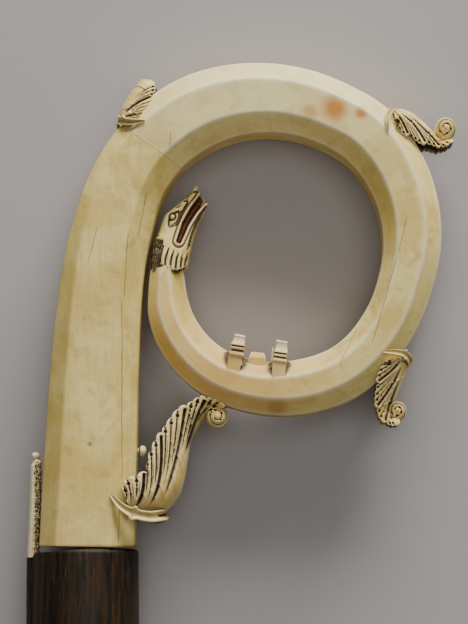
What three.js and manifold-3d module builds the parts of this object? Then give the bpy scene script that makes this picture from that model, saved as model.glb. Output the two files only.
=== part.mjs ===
// Crosier head: an eight-sided ivory crook in two lengths, set on the end of a dark wooden staff.
// The crook coils into a ring that ends in a serpent's head with open jaws; three snapped-off
// figure supports stand inside the ring. Four acanthus leaves are fixed to it: three crockets
// along the outside, and a larger one that braces the ring against the shank. A broken strip and
// a small bead are left of a lost trim. The work is laid on its back.
//
// Units are millimetres. While it is modelled, X runs across the crook, Y up the staff from the
// foot of the ivory, and Z is its depth, front face up. REST_PITCH and REST_ROLL then tip it onto
// the points that it really lies on, and the origin goes under the middle of its box.

import * as THREE from 'three';
import { mergeVertices } from 'three/addons/utils/BufferGeometryUtils.js';
import Module from 'manifold-3d';

const wasm = await Module();
wasm.setup();

// ---- driving dimensions ---------------------------------------------------------------------

const GAP = 0.3;                  // air left between pieces that touch

const LOOP_X = 64.9;              // centre of the ring
const LOOP_Y = 106.8;

const JOINT_OUTER = [12.4, 150.7];  // where the joint between the two lengths meets the outside
const JOINT_INNER = [34.5, 135.4];  // and where it meets the inside

// Shank, from foot to joint: outside x, y; inside x, y; outer and inner bevel.
const SHANK_DEPTH = 32;
const SHANK_STATIONS = [
  [-15.9, 0.7, 17.8, 0.0, 6.2, 7.4],
  [-14.4, 31.0, 18.4, 31.0, 6.4, 7.9],
  [-12.3, 62.5, 19.0, 61.5, 6.2, 8.0],
  [-9.1, 93.5, 20.2, 90.5, 5.6, 7.6],
  [-4.4, 116.5, 23.0, 109.5, 5.0, 7.4],
  [3.2, 136.8, 27.2, 124.6, 5.1, 7.3],
  [12.4, 150.7, 34.0, 135.1, 5.4, 7.3],
  [24.5, 162.4, 44.0, 143.2, 6.2, 7.1],
];

// Ring, clockwise: angle in degrees; inner, outer radius; depth; inner and outer bevel.
const RING_STATIONS = [
  [155, 42.5, 68.4, 32.0, 7.3, 5.4],
  [120, 41.8, 68.8, 32.0, 7.1, 6.6],
  [90, 41.7, 66.8, 32.0, 6.4, 6.5],
  [65, 42.1, 65.8, 32.0, 6.0, 6.2],
  [48, 42.8, 66.3, 31.5, 6.3, 6.0],
  [20, 42.2, 64.1, 30.5, 5.6, 6.0],
  [0, 41.6, 62.3, 30.0, 4.7, 6.0],
  [-15, 41.3, 61.0, 29.3, 4.6, 6.1],
  [-32, 41.8, 61.1, 28.5, 5.0, 5.7],
  [-55, 42.6, 62.2, 27.0, 5.5, 6.2],
  [-75, 41.3, 61.0, 25.2, 5.8, 5.8],
  [-95, 40.2, 59.0, 23.8, 6.1, 5.5],
  [-115, 38.8, 56.9, 22.4, 6.3, 5.3],
  [-135, 35.8, 53.0, 20.6, 6.3, 5.0],
  [-150, 33.0, 48.9, 19.2, 5.9, 4.4],
  [-160, 31.4, 45.2, 18.4, 5.2, 4.1],
  [-170, 30.8, 42.3, 17.6, 4.5, 3.8],
];

const STAFF_RADIUS = 18.9;
const STAFF_FLARE = 0.5;          // the rod is this much thicker at its sawn end
const STAFF_LENGTH = 50;
const STAFF_TOP = -0.4;           // its end stands just under the foot of the ivory
const STAFF_EDGE = 1.6;           // rounding of its upper rim
const STAFF_SLOPE = 0.072;        // fall of the left half of its end, per millimetre
const RIB_WIDTH = 2.2;            // the rib along its left side, which carries the strip
const RIB_TOP = -3.3;

// Three square supports of a lost figure, broken off at the top: x, foot y, top y; width at the
// foot and at the break; how far the break leans to the right.
const SUPPORTS = [
  [54.1, 66.5, 75.6, 5.6, 3.7, 1.2],
  [61.6, 64.5, 69.8, 6.6, 4.8, 0.1],
  [69.6, 63.8, 73.0, 5.2, 4.0, 0.7],
];
const SUPPORT_FRONT = 11.6;       // height of their front faces
const SUPPORT_DEPTH = 9;
// Saw-cuts across two of them: x, y, tilt in radians.
const SUPPORT_CUTS = [
  [54.5, 71.7, -0.15],
  [54.3, 69.9, -0.15],
  [69.8, 69.1, -0.07],
  [69.6, 67.3, -0.07],
];
const SUPPORT_TABS = [[53.2, 66.2], [69.2, 63.8]];  // middles of the flat tabs under two of them

// Broken strip, from its sawn end up: y; left and right edge; half-depth.
const STRIP_STATIONS = [
  [-3.4, -20.6, -16.9, 5.5],
  [12.8, -19.9, -16.4, 5.2],
  [28.7, -19.5, -16.2, 4.6],
  [31.0, -18.9, -16.2, 3.6],
  [32.2, -19.6, -16.1, 4.0],
  [34.1, -18.9, -16.6, 3.0],
];

// Turned bead, from its stem to its tip: radius, distance.
const BEAD_PROFILE = [[0, 0], [1.1, 0.1], [1.5, 0.7], [1.2, 1.1], [2.1, 1.9], [1.7, 2.7], [0, 2.9]];
const BEAD_STEM = [18.75, 34.4, 4];

// The tilt at which the work comes to rest on its back.
const REST_PITCH = THREE.MathUtils.degToRad(-0.73);
const REST_ROLL = THREE.MathUtils.degToRad(0.28);

// ---- meshes and solids ----------------------------------------------------------------------

const v3 = (x, y, z = 0) => new THREE.Vector3(x, y, z);
const lerp = THREE.MathUtils.lerp;
const clamp01 = (t) => THREE.MathUtils.clamp(t, 0, 1);
const smoothstep = (t) => THREE.MathUtils.smoothstep(t, 0, 1);

function meshFrom(points, faces) {
  const geometry = new THREE.BufferGeometry().setFromPoints(points);
  geometry.setIndex(faces.flat());
  return geometry;
}

function toSolid(geometry, weld = 1e-4) {
  geometry.deleteAttribute('normal');
  geometry.deleteAttribute('uv');
  const merged = mergeVertices(geometry, weld);
  const index = merged.index.array;
  const outward = [];
  const inward = [];
  for (let i = 0; i < index.length; i += 3) {
    const [a, b, c] = index.slice(i, i + 3);
    if (a === b || b === c || c === a) continue;
    outward.push(a, b, c);
    inward.push(a, c, b);
  }
  const build = (triVerts) => new wasm.Manifold(new wasm.Mesh({
    numProp: 3,
    vertProperties: Float32Array.from(merged.attributes.position.array),
    triVerts: Uint32Array.from(triVerts),
  }));
  const solid = build(outward);
  return solid.volume() > 0 ? solid : build(inward);
}

// The main body of a solid, without the crumbs and slivers that a cut has left.
function tidied(solid) {
  const body = solid.decompose().reduce((a, b) => (b.volume() > a.volume() ? b : a));
  return toSolid(toGeometry(body.simplify(0.05)), 0.03);
}

function toGeometry(solid) {
  const mesh = solid.getMesh();
  const geometry = new THREE.BufferGeometry();
  geometry.setAttribute('position', new THREE.BufferAttribute(mesh.vertProperties, 3));
  geometry.setIndex(new THREE.BufferAttribute(mesh.triVerts, 1));
  return geometry;
}

// A closed skin over rings of points, each ring running anticlockwise seen from the start.
function loft(rings) {
  const n = rings[0].length;
  const points = rings.flat();
  const faces = [];
  for (let i = 0; i + 1 < rings.length; i += 1) {
    for (let j = 0; j < n; j += 1) {
      const a = i * n + j;
      const b = i * n + ((j + 1) % n);
      faces.push([a, b, b + n], [a, b + n, a + n]);
    }
  }
  const last = (rings.length - 1) * n;
  for (let j = 1; j + 1 < n; j += 1) {
    faces.push([0, j + 1, j], [last, last + j, last + j + 1]);
  }
  return toSolid(meshFrom(points, faces));
}

// A closed slab over a grid: front(i, j) and its mirror image behind, joined along the border.
function slab(rows, columns, front, back = (i, j) => front(i, j).multiply(v3(1, 1, -1))) {
  const points = [];
  for (const side of [front, back]) {
    for (let i = 0; i <= rows; i += 1) {
      for (let j = 0; j <= columns; j += 1) points.push(side(i, j));
    }
  }
  const width = columns + 1;
  const half = (rows + 1) * width;
  const faces = [];
  const quad = (a, b, c, d) => faces.push([a, b, c], [a, c, d]);
  for (let i = 0; i < rows; i += 1) {
    for (let j = 0; j < columns; j += 1) {
      const a = i * width + j;
      quad(a, a + 1, a + width + 1, a + width);
      quad(half + a, half + a + width, half + a + width + 1, half + a + 1);
    }
  }
  for (let j = 0; j < columns; j += 1) {
    const end = rows * width + j;
    quad(j + 1, j, half + j, half + j + 1);
    quad(end, end + 1, half + end + 1, half + end);
  }
  for (let i = 0; i < rows; i += 1) {
    const a = i * width;
    const b = a + columns;
    quad(a, a + width, half + a + width, half + a);
    quad(b + width, b, half + b, half + b + width);
  }
  return toSolid(meshFrom(points, faces));
}

// A rod of six flats along a curve, with its own radius at each step.
function taperedRod(curve, steps, radius, flatten = 1) {
  const sides = 6;
  const rings = [];
  const frames = curve.computeFrenetFrames(steps, false);
  for (let i = 0; i <= steps; i += 1) {
    const t = i / steps;
    const centre = curve.getPointAt(t);
    const ring = [];
    for (let j = 0; j < sides; j += 1) {
      const angle = (j / sides) * 2 * Math.PI;
      ring.push(centre.clone()
        .addScaledVector(frames.normals[i], radius(t) * Math.cos(angle))
        .addScaledVector(frames.binormals[i], radius(t) * Math.sin(angle) * flatten));
    }
    rings.push(ring);
  }
  return loft(rings);
}

// A block that covers one side of the joint, from the given distance beyond it.
function jointBlock(side, distance) {
  const along = v3(JOINT_INNER[0] - JOINT_OUTER[0], JOINT_INNER[1] - JOINT_OUTER[1]).normalize();
  const across = v3(-along.y, along.x);
  const centre = v3(...JOINT_OUTER).add(v3(...JOINT_INNER)).multiplyScalar(0.5)
    .addScaledVector(across, distance * side);
  const block = new THREE.BoxGeometry(60, 26, 60).translate(0, 13 * side, 0)
    .rotateZ(Math.atan2(along.y, along.x));
  return toSolid(block.translate(centre.x, centre.y, 0));
}

// ---- the eight-sided crook ------------------------------------------------------------------

// A smooth value between stations, whose first column is the key, read in rising order.
function between(stations, key, column) {
  const rows = stations[0][0] < stations[stations.length - 1][0] ? stations : [...stations].reverse();
  const last = rows.length - 1;
  let i = rows.findIndex((row) => row[0] > key) - 1;
  if (i < 0) i = key < rows[0][0] ? 0 : last - 1;
  const slope = (k) => {
    const a = rows[Math.max(k - 1, 0)];
    const b = rows[Math.min(k + 1, last)];
    return (b[column] - a[column]) / (b[0] - a[0]);
  };
  const step = rows[i + 1][0] - rows[i][0];
  const t = clamp01((key - rows[i][0]) / step);
  const t2 = t * t;
  const t3 = t2 * t;
  return (2 * t3 - 3 * t2 + 1) * rows[i][column] + (t3 - 2 * t2 + t) * step * slope(i)
    + (3 * t2 - 2 * t3) * rows[i + 1][column] + (t3 - t2) * step * slope(i + 1);
}

// One cross-section, from its inside corner line to its outside one, grown by an allowance.
function section(inner, outer, depth, innerBevel, outerBevel, grow) {
  const across = outer.clone().sub(inner);
  const width = across.length();
  across.divideScalar(width);
  const high = depth / 2 + grow;
  const corner = grow * Math.tan(Math.PI / 8);
  const at = (w, z) => inner.clone().addScaledVector(across, w).setZ(z);
  const left = -grow;
  const right = width + grow;
  const a = innerBevel + grow - corner;
  const b = outerBevel + grow - corner;
  return [
    at(left, -high + a), at(left + a, -high), at(right - b, -high), at(right, -high + b),
    at(right, high - b), at(right - b, high), at(left + a, high), at(left, high - a),
  ];
}

const shankRows = SHANK_STATIONS.map((row, i) => [i, ...row]);

function shankSection(t, grow) {
  const value = (column) => between(shankRows, t, column + 1);
  return section(v3(value(2), value(3)), v3(value(0), value(1)), SHANK_DEPTH,
    value(5), value(4), grow);
}

function ringPoint(angle, radius) {
  const a = THREE.MathUtils.degToRad(angle);
  return v3(LOOP_X + radius * Math.cos(a), LOOP_Y + radius * Math.sin(a));
}

function ringSection(angle, grow) {
  const value = (column) => between(RING_STATIONS, angle, column);
  return section(ringPoint(angle, value(1)), ringPoint(angle, value(2)), value(3),
    value(4), value(5), grow);
}

function shankSolid(grow) {
  const steps = 28;
  const rings = [];
  for (let i = 0; i <= steps; i += 1) {
    rings.push(shankSection((i / steps) * (SHANK_STATIONS.length - 1), grow));
  }
  return loft(rings).subtract(jointBlock(1, grow - GAP / 2));
}

function ringSolid(grow) {
  const start = RING_STATIONS[0][0];
  const end = RING_STATIONS[RING_STATIONS.length - 1][0];
  const steps = 60;
  const rings = [];
  for (let i = 0; i <= steps; i += 1) rings.push(ringSection(lerp(start, end, i / steps), grow));
  return loft(rings).subtract(jointBlock(-1, grow - GAP / 2));
}

// ---- the serpent's head ---------------------------------------------------------------------

const curve = (points) => new THREE.CatmullRomCurve3(points.map((p) => v3(...p)), false, 'centripetal');

const HEAD_BACK = curve([
  [23.0, 97.5], [22.7, 102], [23.2, 107], [24.6, 110.8], [25.9, 113], [27.0, 116.5],
  [28.2, 119.5], [30.8, 121.8], [35.0, 125.3], [38.9, 129.6],
]);
const HEAD_JAW = curve([
  [35.6, 97.5], [36.3, 102], [37.6, 107], [38.9, 112], [40.6, 116.5], [42.6, 120.6], [43.6, 123.2],
]);
const MOUTH_START = 0.36;         // how far up the head the corner of the mouth is
const MOUTH_TOP = 0.50;           // where the jaws part, across the head from crown to throat
const MOUTH_FOOT = 0.80;
const MANE_START = 0.07;
const MANE_END = 0.33;
const EYE = [31.1, 118.5, 5];
const EYE_RADIUS = 1.35;
const NOSTRIL = [39.3, 129.4, 0];
// Places across the head that the rows of its skin run through, so that lips come out crisp.
const HEAD_ACROSS = [0, 0.03, 0.1, 0.19, 0.28, 0.37, 0.45, MOUTH_TOP, 0.55, 0.65, 0.75,
  MOUTH_FOOT, 0.86, 0.93, 0.98, 1];

function headHalfDepth(s, t) {
  const half = between([[0, 8.6], [0.3, 8.2], [0.55, 6.4], [0.8, 4.6], [1, 3.4]], s, 1);
  const roundness = (1 - Math.abs(2 * t - 1) ** 3.2) ** (1 / 3.2);
  return Math.max(half * roundness, 0.6);
}

function headHeight(s, t, column) {
  let z = headHalfDepth(s, t);
  const open = smoothstep((s - MOUTH_START) / 0.04);
  if (t > MOUTH_TOP + 0.01 && t < MOUTH_FOOT - 0.01) z -= 2.4 * open;
  if (t === MOUTH_TOP || t === MOUTH_FOOT) z += 0.5 * open;
  const mane = smoothstep((s - MANE_START) / 0.02) * smoothstep((MANE_END - s) / 0.04);
  if (column % 2 === 0) z -= 0.6 * mane;
  else z += 0.5 * mane;
  return Math.max(z, 0.5);
}

function serpentHead() {
  const rows = 22;
  const grid = (i, j) => {
    const s = i / rows;
    const t = HEAD_ACROSS[j];
    const across = HEAD_BACK.getPoint(s).lerp(HEAD_JAW.getPoint(s), t);
    // Between the jaws the floor of the mouth stops short of their tips.
    const notch = t > MOUTH_TOP && t < 0.6 ? 1.6 * smoothstep((s - 0.9) / 0.1) : 0;
    across.addScaledVector(v3(-0.45, -0.9), notch);
    return across.setZ(headHeight(s, t, j));
  };
  const eye = (side) => toSolid(new THREE.SphereGeometry(EYE_RADIUS, 10, 8).scale(1, 1, 0.8)
    .translate(EYE[0], EYE[1], EYE[2] * side));
  const nostril = toSolid(new THREE.SphereGeometry(1.1, 8, 6).translate(...NOSTRIL));
  return slab(rows, HEAD_ACROSS.length - 1, grid).add(eye(1)).add(eye(-1)).add(nostril);
}

// ---- the broken supports inside the ring ----------------------------------------------------

// A square post that tapers to its broken top.
function support([x, foot, top, width, topWidth, lean]) {
  const corner = (i, j, z) => {
    const half = lerp(width, topWidth, i) / 2;
    return v3(x + i * lean + (j === 0 ? -half : half), lerp(foot, top, i), z);
  };
  return slab(1, 1, (i, j) => corner(i, j, SUPPORT_FRONT),
    (i, j) => corner(i, j, SUPPORT_FRONT - SUPPORT_DEPTH));
}

// A shallow box with its middle on the front plane of the supports, turned a little.
function frontBox(width, height, depth, x, y, tilt = 0) {
  return toSolid(new THREE.BoxGeometry(width, height, depth).rotateZ(tilt)
    .translate(x, y, SUPPORT_FRONT));
}

function brokenSupports() {
  const cuts = SUPPORT_CUTS.map(([x, y, tilt]) => frontBox(7, 0.7, 1.2, x, y, tilt));
  const posts = SUPPORTS.map((row) => cuts.reduce((post, cut) => post.subtract(cut), support(row)));
  const tabs = SUPPORT_TABS.map(([x, y]) => frontBox(4.9, 8, 5.6, x, y).translate([0, 0, -2.4]));
  return [...posts, ...tabs];
}

// ---- acanthus leaves ------------------------------------------------------------------------

// A leaf is a fan of fingers. Each vein leaves the root line, which follows the crest of the
// leaf, and runs in a bow to the frilled tip line. The flank stands at its half-depth along the
// tips and falls to the crest, and the back of the leaf mirrors the front.
function acanthus({ root, tip, bow, depth, groups, notch, flute, scroll, hollow }) {
  const rootCurve = curve(root);
  const tipCurve = curve(tip);
  const fingers = groups.reduce((a, b) => a + b, 0);
  const perFinger = 3;
  const rows = fingers * perFinger;
  const columns = 4;
  const groupEnds = groups.map((_, k) => groups.slice(0, k + 1).reduce((a, b) => a + b));

  // 1 in the crease between two fingers, more between two groups, 0 on the back of a finger.
  const frill = (s) => {
    const finger = s * fingers;
    const nearest = Math.round(finger);
    const crease = Math.max(0, 1 - Math.abs(finger - nearest) * 2);
    return groupEnds.includes(nearest) && nearest < fingers ? crease * 2.2 : crease;
  };

  const flank = (s, v, inset) => {
    const from = rootCurve.getPoint(s);
    const to = tipCurve.getPoint(s);
    const tangent = rootCurve.getTangent(s);
    const reach = from.distanceTo(to);
    const bend = from.clone().lerp(to, 0.4).addScaledVector(tangent, bow * reach);
    const end = v * (1 - notch * frill(s) / reach);
    const point = from.multiplyScalar((1 - end) ** 2)
      .addScaledVector(bend, 2 * end * (1 - end)).addScaledVector(to, end * end);
    const rise = (1 - (1 - v) ** 2.4) ** (1 / 2.4);
    const groove = flute * frill(s) * Math.min(1, v * 2.5);
    point.z = Math.max(depth(s) * rise - groove - inset, 0.2);
    return point;
  };

  let solid = slab(rows, columns, (i, j) => flank(i / rows, j / columns, 0));
  if (hollow) {
    const { from, to, wall, start } = hollow;
    const steps = 16;
    const channel = slab(steps, 4, (i, j) => {
      const s = lerp(from, to, i / steps);
      return flank(s, lerp(start, 1.5, j / 4), wall);
    });
    solid = solid.subtract(channel);
  }
  if (scroll) solid = solid.add(leafScroll(scroll));
  return solid;
}

// The rolled-up tip: a drum with domed ends, into which the spiral of the roll is cut.
function leafScroll({ x, y, radius, half, start, turn }) {
  const rings = 4;
  const around = 18;
  const pitch = radius / 1.7;
  const front = (i, j) => {
    const r = radius * Math.min(1, i / rings + 0.02);
    const angle = (j / around) * 2 * Math.PI;
    const phase = (r / pitch - turn * (angle - start) / (2 * Math.PI)) % 1;
    const distance = Math.abs(((phase + 1) % 1) - 0.5) * 2;
    const dome = half * (1 - (i / rings) ** 4 * 0.35);
    const groove = i > 0 && i < rings ? 0.55 * Math.max(0, 1 - distance * 2.2) : 0;
    return v3(x + r * Math.cos(angle), y + r * Math.sin(angle), dome - groove);
  };
  const points = [v3(x, y, half), v3(x, y, -half)];
  const faces = [];
  const id = (side, i, j) => 2 + side * rings * around + (i - 1) * around + (j % around);
  for (const side of [0, 1]) {
    for (let i = 1; i <= rings; i += 1) {
      for (let j = 0; j < around; j += 1) {
        const p = front(i, j);
        points.push(side === 0 ? p : p.multiply(v3(1, 1, -1)));
      }
    }
  }
  for (let j = 0; j < around; j += 1) {
    faces.push([0, id(0, 1, j), id(0, 1, j + 1)], [1, id(1, 1, j + 1), id(1, 1, j)]);
    for (let i = 1; i < rings; i += 1) {
      faces.push([id(0, i, j), id(0, i + 1, j), id(0, i + 1, j + 1)],
        [id(0, i, j), id(0, i + 1, j + 1), id(0, i, j + 1)],
        [id(1, i, j), id(1, i + 1, j + 1), id(1, i + 1, j)],
        [id(1, i, j), id(1, i, j + 1), id(1, i + 1, j + 1)]);
    }
    faces.push([id(0, rings, j), id(1, rings, j), id(1, rings, j + 1)],
      [id(0, rings, j), id(1, rings, j + 1), id(0, rings, j + 1)]);
  }
  return toSolid(meshFrom(points, faces));
}

// The collar at a leaf's foot: a pointed band that laps over the bevel onto the front face, with
// its twin behind.
function collar(points, thickness) {
  const band = (side) => taperedRod(
    new THREE.CatmullRomCurve3(points.map(([x, y, z]) => v3(x, y, z * side)), false, 'centripetal'),
    8,
    (t) => lerp(thickness, 0.35, t * t),
    0.75,
  );
  return band(1).add(band(-1));
}

// ---- small pieces ---------------------------------------------------------------------------

// The end of the wooden staff, grown by an allowance: a rod with a rounded rim and a rib down its
// left side, whose top falls away to the left.
function staffStub(grow) {
  const around = 40;
  const radius = STAFF_RADIUS + grow;
  const profile = [
    [0, grow], [radius - STAFF_EDGE, grow], [radius - 0.45, grow - 0.5],
    [radius, -STAFF_EDGE], [radius + STAFF_FLARE, -STAFF_LENGTH], [0, -STAFF_LENGTH],
  ].map(([r, y]) => new THREE.Vector2(r, y));
  const rod = toSolid(new THREE.LatheGeometry(profile, around));
  const ribRadius = RIB_WIDTH * 1.6 + grow;
  const ribTop = RIB_TOP - STAFF_TOP + grow;
  const rib = toSolid(new THREE.CylinderGeometry(ribRadius, ribRadius, ribTop + STAFF_LENGTH, 10)
    .scale(1, 1, 1.4)
    .translate(-STAFF_RADIUS + RIB_WIDTH * 0.6, (ribTop - STAFF_LENGTH) / 2, 0));
  const slope = toSolid(new THREE.BoxGeometry(60, 10, 80).translate(-30, 5 + grow, 0)
    .rotateZ(Math.atan(STAFF_SLOPE)).translate(3, 0, 0));
  return rod.add(rib).subtract(slope).translate([0, STAFF_TOP, 0]);
}

// The strip that is left on the rib and the foot of the shank, its outer edge bevelled.
function sideStrip() {
  return loft(STRIP_STATIONS.map(([y, left, right, half]) => [
    v3(left + 0.9, y, half), v3(right, y, half * 0.8), v3(right, y, -half * 0.8),
    v3(left + 0.9, y, -half), v3(left, y, -half + 1.3), v3(left, y, half - 1.3),
  ]));
}

// The bead stands out of the inside of the shank.
function pegBead() {
  const profile = BEAD_PROFILE.map(([r, y]) => new THREE.Vector2(r, y)).reverse();
  return toSolid(new THREE.LatheGeometry(profile, 10).rotateZ(-Math.PI / 2)
    .translate(...BEAD_STEM));
}

// ---- assembly -------------------------------------------------------------------------------

const grownShank = shankSolid(GAP);
const grownRing = ringSolid(GAP);

const shank = shankSolid(0);
let volute = ringSolid(0).add(serpentHead());
for (const piece of brokenSupports()) volute = volute.add(piece);

// Each crocket curls out of its collar, with its crest outward and its frilled tips inward.
const crocketUpperLeft = acanthus({
  root: [[12.6, 152.4], [11.8, 155.6], [12.8, 159.2], [16.7, 165.4], [19.2, 168.6], [22.4, 168.6]],
  tip: [[17.5, 151.8], [20.4, 153.4], [23.0, 156.6], [24.3, 160.2], [25.2, 163.4], [24.9, 166.6]],
  bow: 0.2,
  depth: (s) => lerp(15.2, 9, s),
  groups: [3, 3, 3],
  notch: 0.8,
  flute: 0.7,
}).add(collar([
  [12.2, 153.8, 0], [11.9, 153.0, 7], [13.2, 152.2, 11.8], [16.6, 151.4, 15.6], [21.6, 151.6, 16.5],
], 1.6));

const crocketUpperRight = acanthus({
  root: [
    [109.8, 155.6], [112.4, 157.8], [117.2, 156.4], [121.4, 153.2], [124.8, 149.6], [127.4, 146.8],
    [131.2, 146.6],
  ],
  tip: [
    [111.2, 150.2], [113.2, 147.4], [116.6, 145.6], [120.0, 143.8], [124.2, 143.2], [128.4, 142.6],
    [132.4, 145.4],
  ],
  bow: 0.25,
  depth: (s) => lerp(15.0, 7.8, s),
  groups: [3, 3, 3, 2],
  notch: 0.8,
  flute: 0.7,
  scroll: { x: 129.2, y: 150.4, radius: 3.9, half: 6.5, start: 0, turn: 1 },
}).add(collar([
  [110.6, 157.4, 0], [109.8, 156.6, 7], [108.8, 154.6, 12], [108.0, 151.6, 15.4], [108.2, 147.6, 16.1],
], 1.5));

const crocketLowerRight = acanthus({
  root: [
    [112.6, 68.4], [115.2, 65.8], [114.7, 61.4], [113.0, 57.6], [111.0, 54.0], [108.4, 50.2],
    [109.2, 46.0],
  ],
  tip: [
    [106.8, 66.2], [104.6, 62.4], [103.4, 58.4], [103.0, 53.6], [103.3, 49.4], [105.2, 45.6],
    [109.2, 43.3],
  ],
  bow: 0.3,
  depth: (s) => lerp(14.2, 7.2, s),
  groups: [3, 3, 3, 2],
  notch: 0.8,
  flute: 0.7,
  scroll: { x: 111.6, y: 48.6, radius: 3.9, half: 6.0, start: 1.2, turn: 1 },
}).add(collar([
  [115.6, 65.6, 0], [115.7, 66.9, 6], [113.8, 68.4, 11], [110.6, 69.0, 14.2], [106.0, 69.2, 14.9],
], 1.4));

// The bracket leaf rises from its collar on the shank, with its scroll against the ring.
const bracket = acanthus({
  root: [
    [15.5, 12.6], [22.5, 11.9], [29.5, 12.6], [34.0, 17.2], [35.6, 24.0], [36.9, 32.6], [38.3, 38.2],
    [40.8, 43.2], [43.6, 46.2],
  ],
  tip: [
    [13.8, 19.8], [15.0, 24.2], [20.2, 26.6], [22.6, 33.0], [25.6, 39.2], [28.5, 43.8],
    [32.6, 49.0], [37.2, 52.0], [41.6, 54.0],
  ],
  bow: 0.35,
  depth: (s) => lerp(16.6, 9.0, smoothstep(s * 1.2)),
  groups: [3, 4, 4, 3],
  notch: 1.0,
  flute: 0.9,
  hollow: { from: 0.1, to: 0.85, wall: 2.4, start: 0.4 },
  scroll: { x: 47.4, y: 46.6, radius: 4.3, half: 8.2, start: 2.2, turn: -1 },
}).add(collar([
  [30.6, 11.6, 0], [28.8, 11.2, 9], [23.5, 11.0, 14.0], [17.8, 12.2, 16.2], [13.6, 14.6, 16.9],
  [9.9, 18.6, 16.5],
], 1.9));

// The leaves stand off the crook by the gap, and end where it passes through them.
const NODES = [
  ['staff_stub', staffStub(0), { color: 0x2f2313, roughness: 0.55 }],
  ['shank', shank, { color: 0xcfc4a0, roughness: 0.4 }],
  ['volute', volute, { color: 0xd3c297, roughness: 0.4 }],
  ['crocket_upper_left', crocketUpperLeft.subtract(grownRing).subtract(grownShank),
    { color: 0xc9b98a, roughness: 0.45 }],
  ['crocket_upper_right', crocketUpperRight.subtract(grownRing), { color: 0xc9b98a, roughness: 0.45 }],
  ['crocket_lower_right', crocketLowerRight.subtract(grownRing), { color: 0xc9b98a, roughness: 0.45 }],
  ['bracket_leaf', bracket.subtract(grownShank).subtract(grownRing),
    { color: 0xcbb98a, roughness: 0.45 }],
  ['side_strip', sideStrip().subtract(staffStub(GAP)).subtract(grownShank),
    { color: 0xb89a62, roughness: 0.6 }],
  ['peg_bead', pegBead(), { color: 0xb7a070, roughness: 0.5 }],
];

const work = new THREE.Group();
for (const [name, solid, finish] of NODES) {
  const mesh = new THREE.Mesh(toGeometry(tidied(solid)), new THREE.MeshStandardMaterial(finish));
  mesh.name = name;
  work.add(mesh);
}
work.rotation.set(REST_PITCH, REST_ROLL, 0);

const part = new THREE.Group();
part.add(work);
part.updateMatrixWorld(true);
const extent = new THREE.Box3().setFromObject(part, true);
const middle = extent.getCenter(v3(0, 0));
work.position.set(-middle.x, -middle.y, -extent.min.z);

export default part;
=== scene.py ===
# %% [markdown]
# # An ivory crosier head on the end of its staff
# The real thing is elephant ivory, cut to eight sides in two lengths and coiled into a ring that ends
# in a serpent's head. Carved acanthus leaves are set on it, and it stands on a dark wooden staff. The
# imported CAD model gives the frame: this script dresses each of its nodes with a finer piece. All
# drawing is done in millimetres on a flat plan, X across and Y up the staff, and tipped into place.
# %% The fixed frame
import math

import bmesh
import bpy
import numpy as np
from mathutils import Matrix, Vector


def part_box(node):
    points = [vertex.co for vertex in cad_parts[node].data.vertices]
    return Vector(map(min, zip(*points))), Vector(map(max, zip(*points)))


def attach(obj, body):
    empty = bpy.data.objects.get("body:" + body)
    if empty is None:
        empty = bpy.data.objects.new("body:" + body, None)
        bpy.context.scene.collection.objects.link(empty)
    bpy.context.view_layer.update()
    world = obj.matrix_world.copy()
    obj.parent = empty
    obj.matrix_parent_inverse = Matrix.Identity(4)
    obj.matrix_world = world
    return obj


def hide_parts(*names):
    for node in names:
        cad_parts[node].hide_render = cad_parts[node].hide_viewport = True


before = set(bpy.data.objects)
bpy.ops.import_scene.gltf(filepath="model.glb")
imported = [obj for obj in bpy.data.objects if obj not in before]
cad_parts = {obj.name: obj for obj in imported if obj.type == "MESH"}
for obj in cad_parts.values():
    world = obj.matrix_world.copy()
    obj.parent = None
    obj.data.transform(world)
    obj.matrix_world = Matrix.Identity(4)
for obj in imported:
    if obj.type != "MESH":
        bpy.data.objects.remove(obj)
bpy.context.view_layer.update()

MM = 0.001
SHARP = math.radians(38)
print("nodes:", sorted(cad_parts))

# %% [markdown]
# Stations are the sections that a carver would mark out on the tusk. A Hermite curve runs smoothly
# through every column of such a table, and a centripetal curve runs through points without loops.
# %% Smooth curves through stations and points


def hermite(a, b, slope_a, slope_b, w):
    w2, w3 = w ** 2, w ** 3
    return ((2 * w3 - 3 * w2 + 1) * a + (w3 - 2 * w2 + w) * slope_a
            + (3 * w2 - 2 * w3) * b + (w3 - w2) * slope_b)


def between(rows, key):
    """Every column of a table, read smoothly where its first column has the given values."""
    rows = np.array(sorted(rows), float)
    key = np.atleast_1d(np.asarray(key, float))
    at = np.arange(len(rows))
    low, high = np.maximum(at - 1, 0), np.minimum(at + 1, len(rows) - 1)
    slope = (rows[high] - rows[low]) / (rows[high, 0] - rows[low, 0])[:, None]
    i = np.clip(np.searchsorted(rows[:, 0], key, side="right") - 1, 0, len(rows) - 2)
    step = (rows[i + 1, 0] - rows[i, 0])[:, None]
    w = np.clip((key - rows[i, 0])[:, None] / step, 0, 1)
    return hermite(rows[i], rows[i + 1], slope[i] * step, slope[i + 1] * step, w)


def through(points, t):
    """Places t, from 0 to 1, on a centripetal curve through points."""
    p = np.asarray(points, float)
    last = len(p) - 1
    p = np.vstack([2 * p[0] - p[1], p, 2 * p[-1] - p[-2]])
    t = np.clip(np.atleast_1d(t), 0, 1) * last
    i = np.minimum(t.astype(int), last - 1)
    a, b, c, d = (p[i + k] for k in range(4))

    def reach(u, v):
        return np.sqrt(np.linalg.norm(v - u, axis=1))[:, None]

    g0, g1, g2 = reach(a, b), reach(b, c), reach(c, d)
    slope_b = g1 * ((b - a) / g0 - (c - a) / (g0 + g1)) + (c - b)
    slope_c = (c - b) - g1 * ((d - b) / (g1 + g2) - (d - c) / g2)
    return hermite(b, c, slope_b, slope_c, (t - i)[:, None])


def smoothstep(x):
    x = np.clip(x, 0, 1)
    return x * x * (3 - 2 * x)


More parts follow.
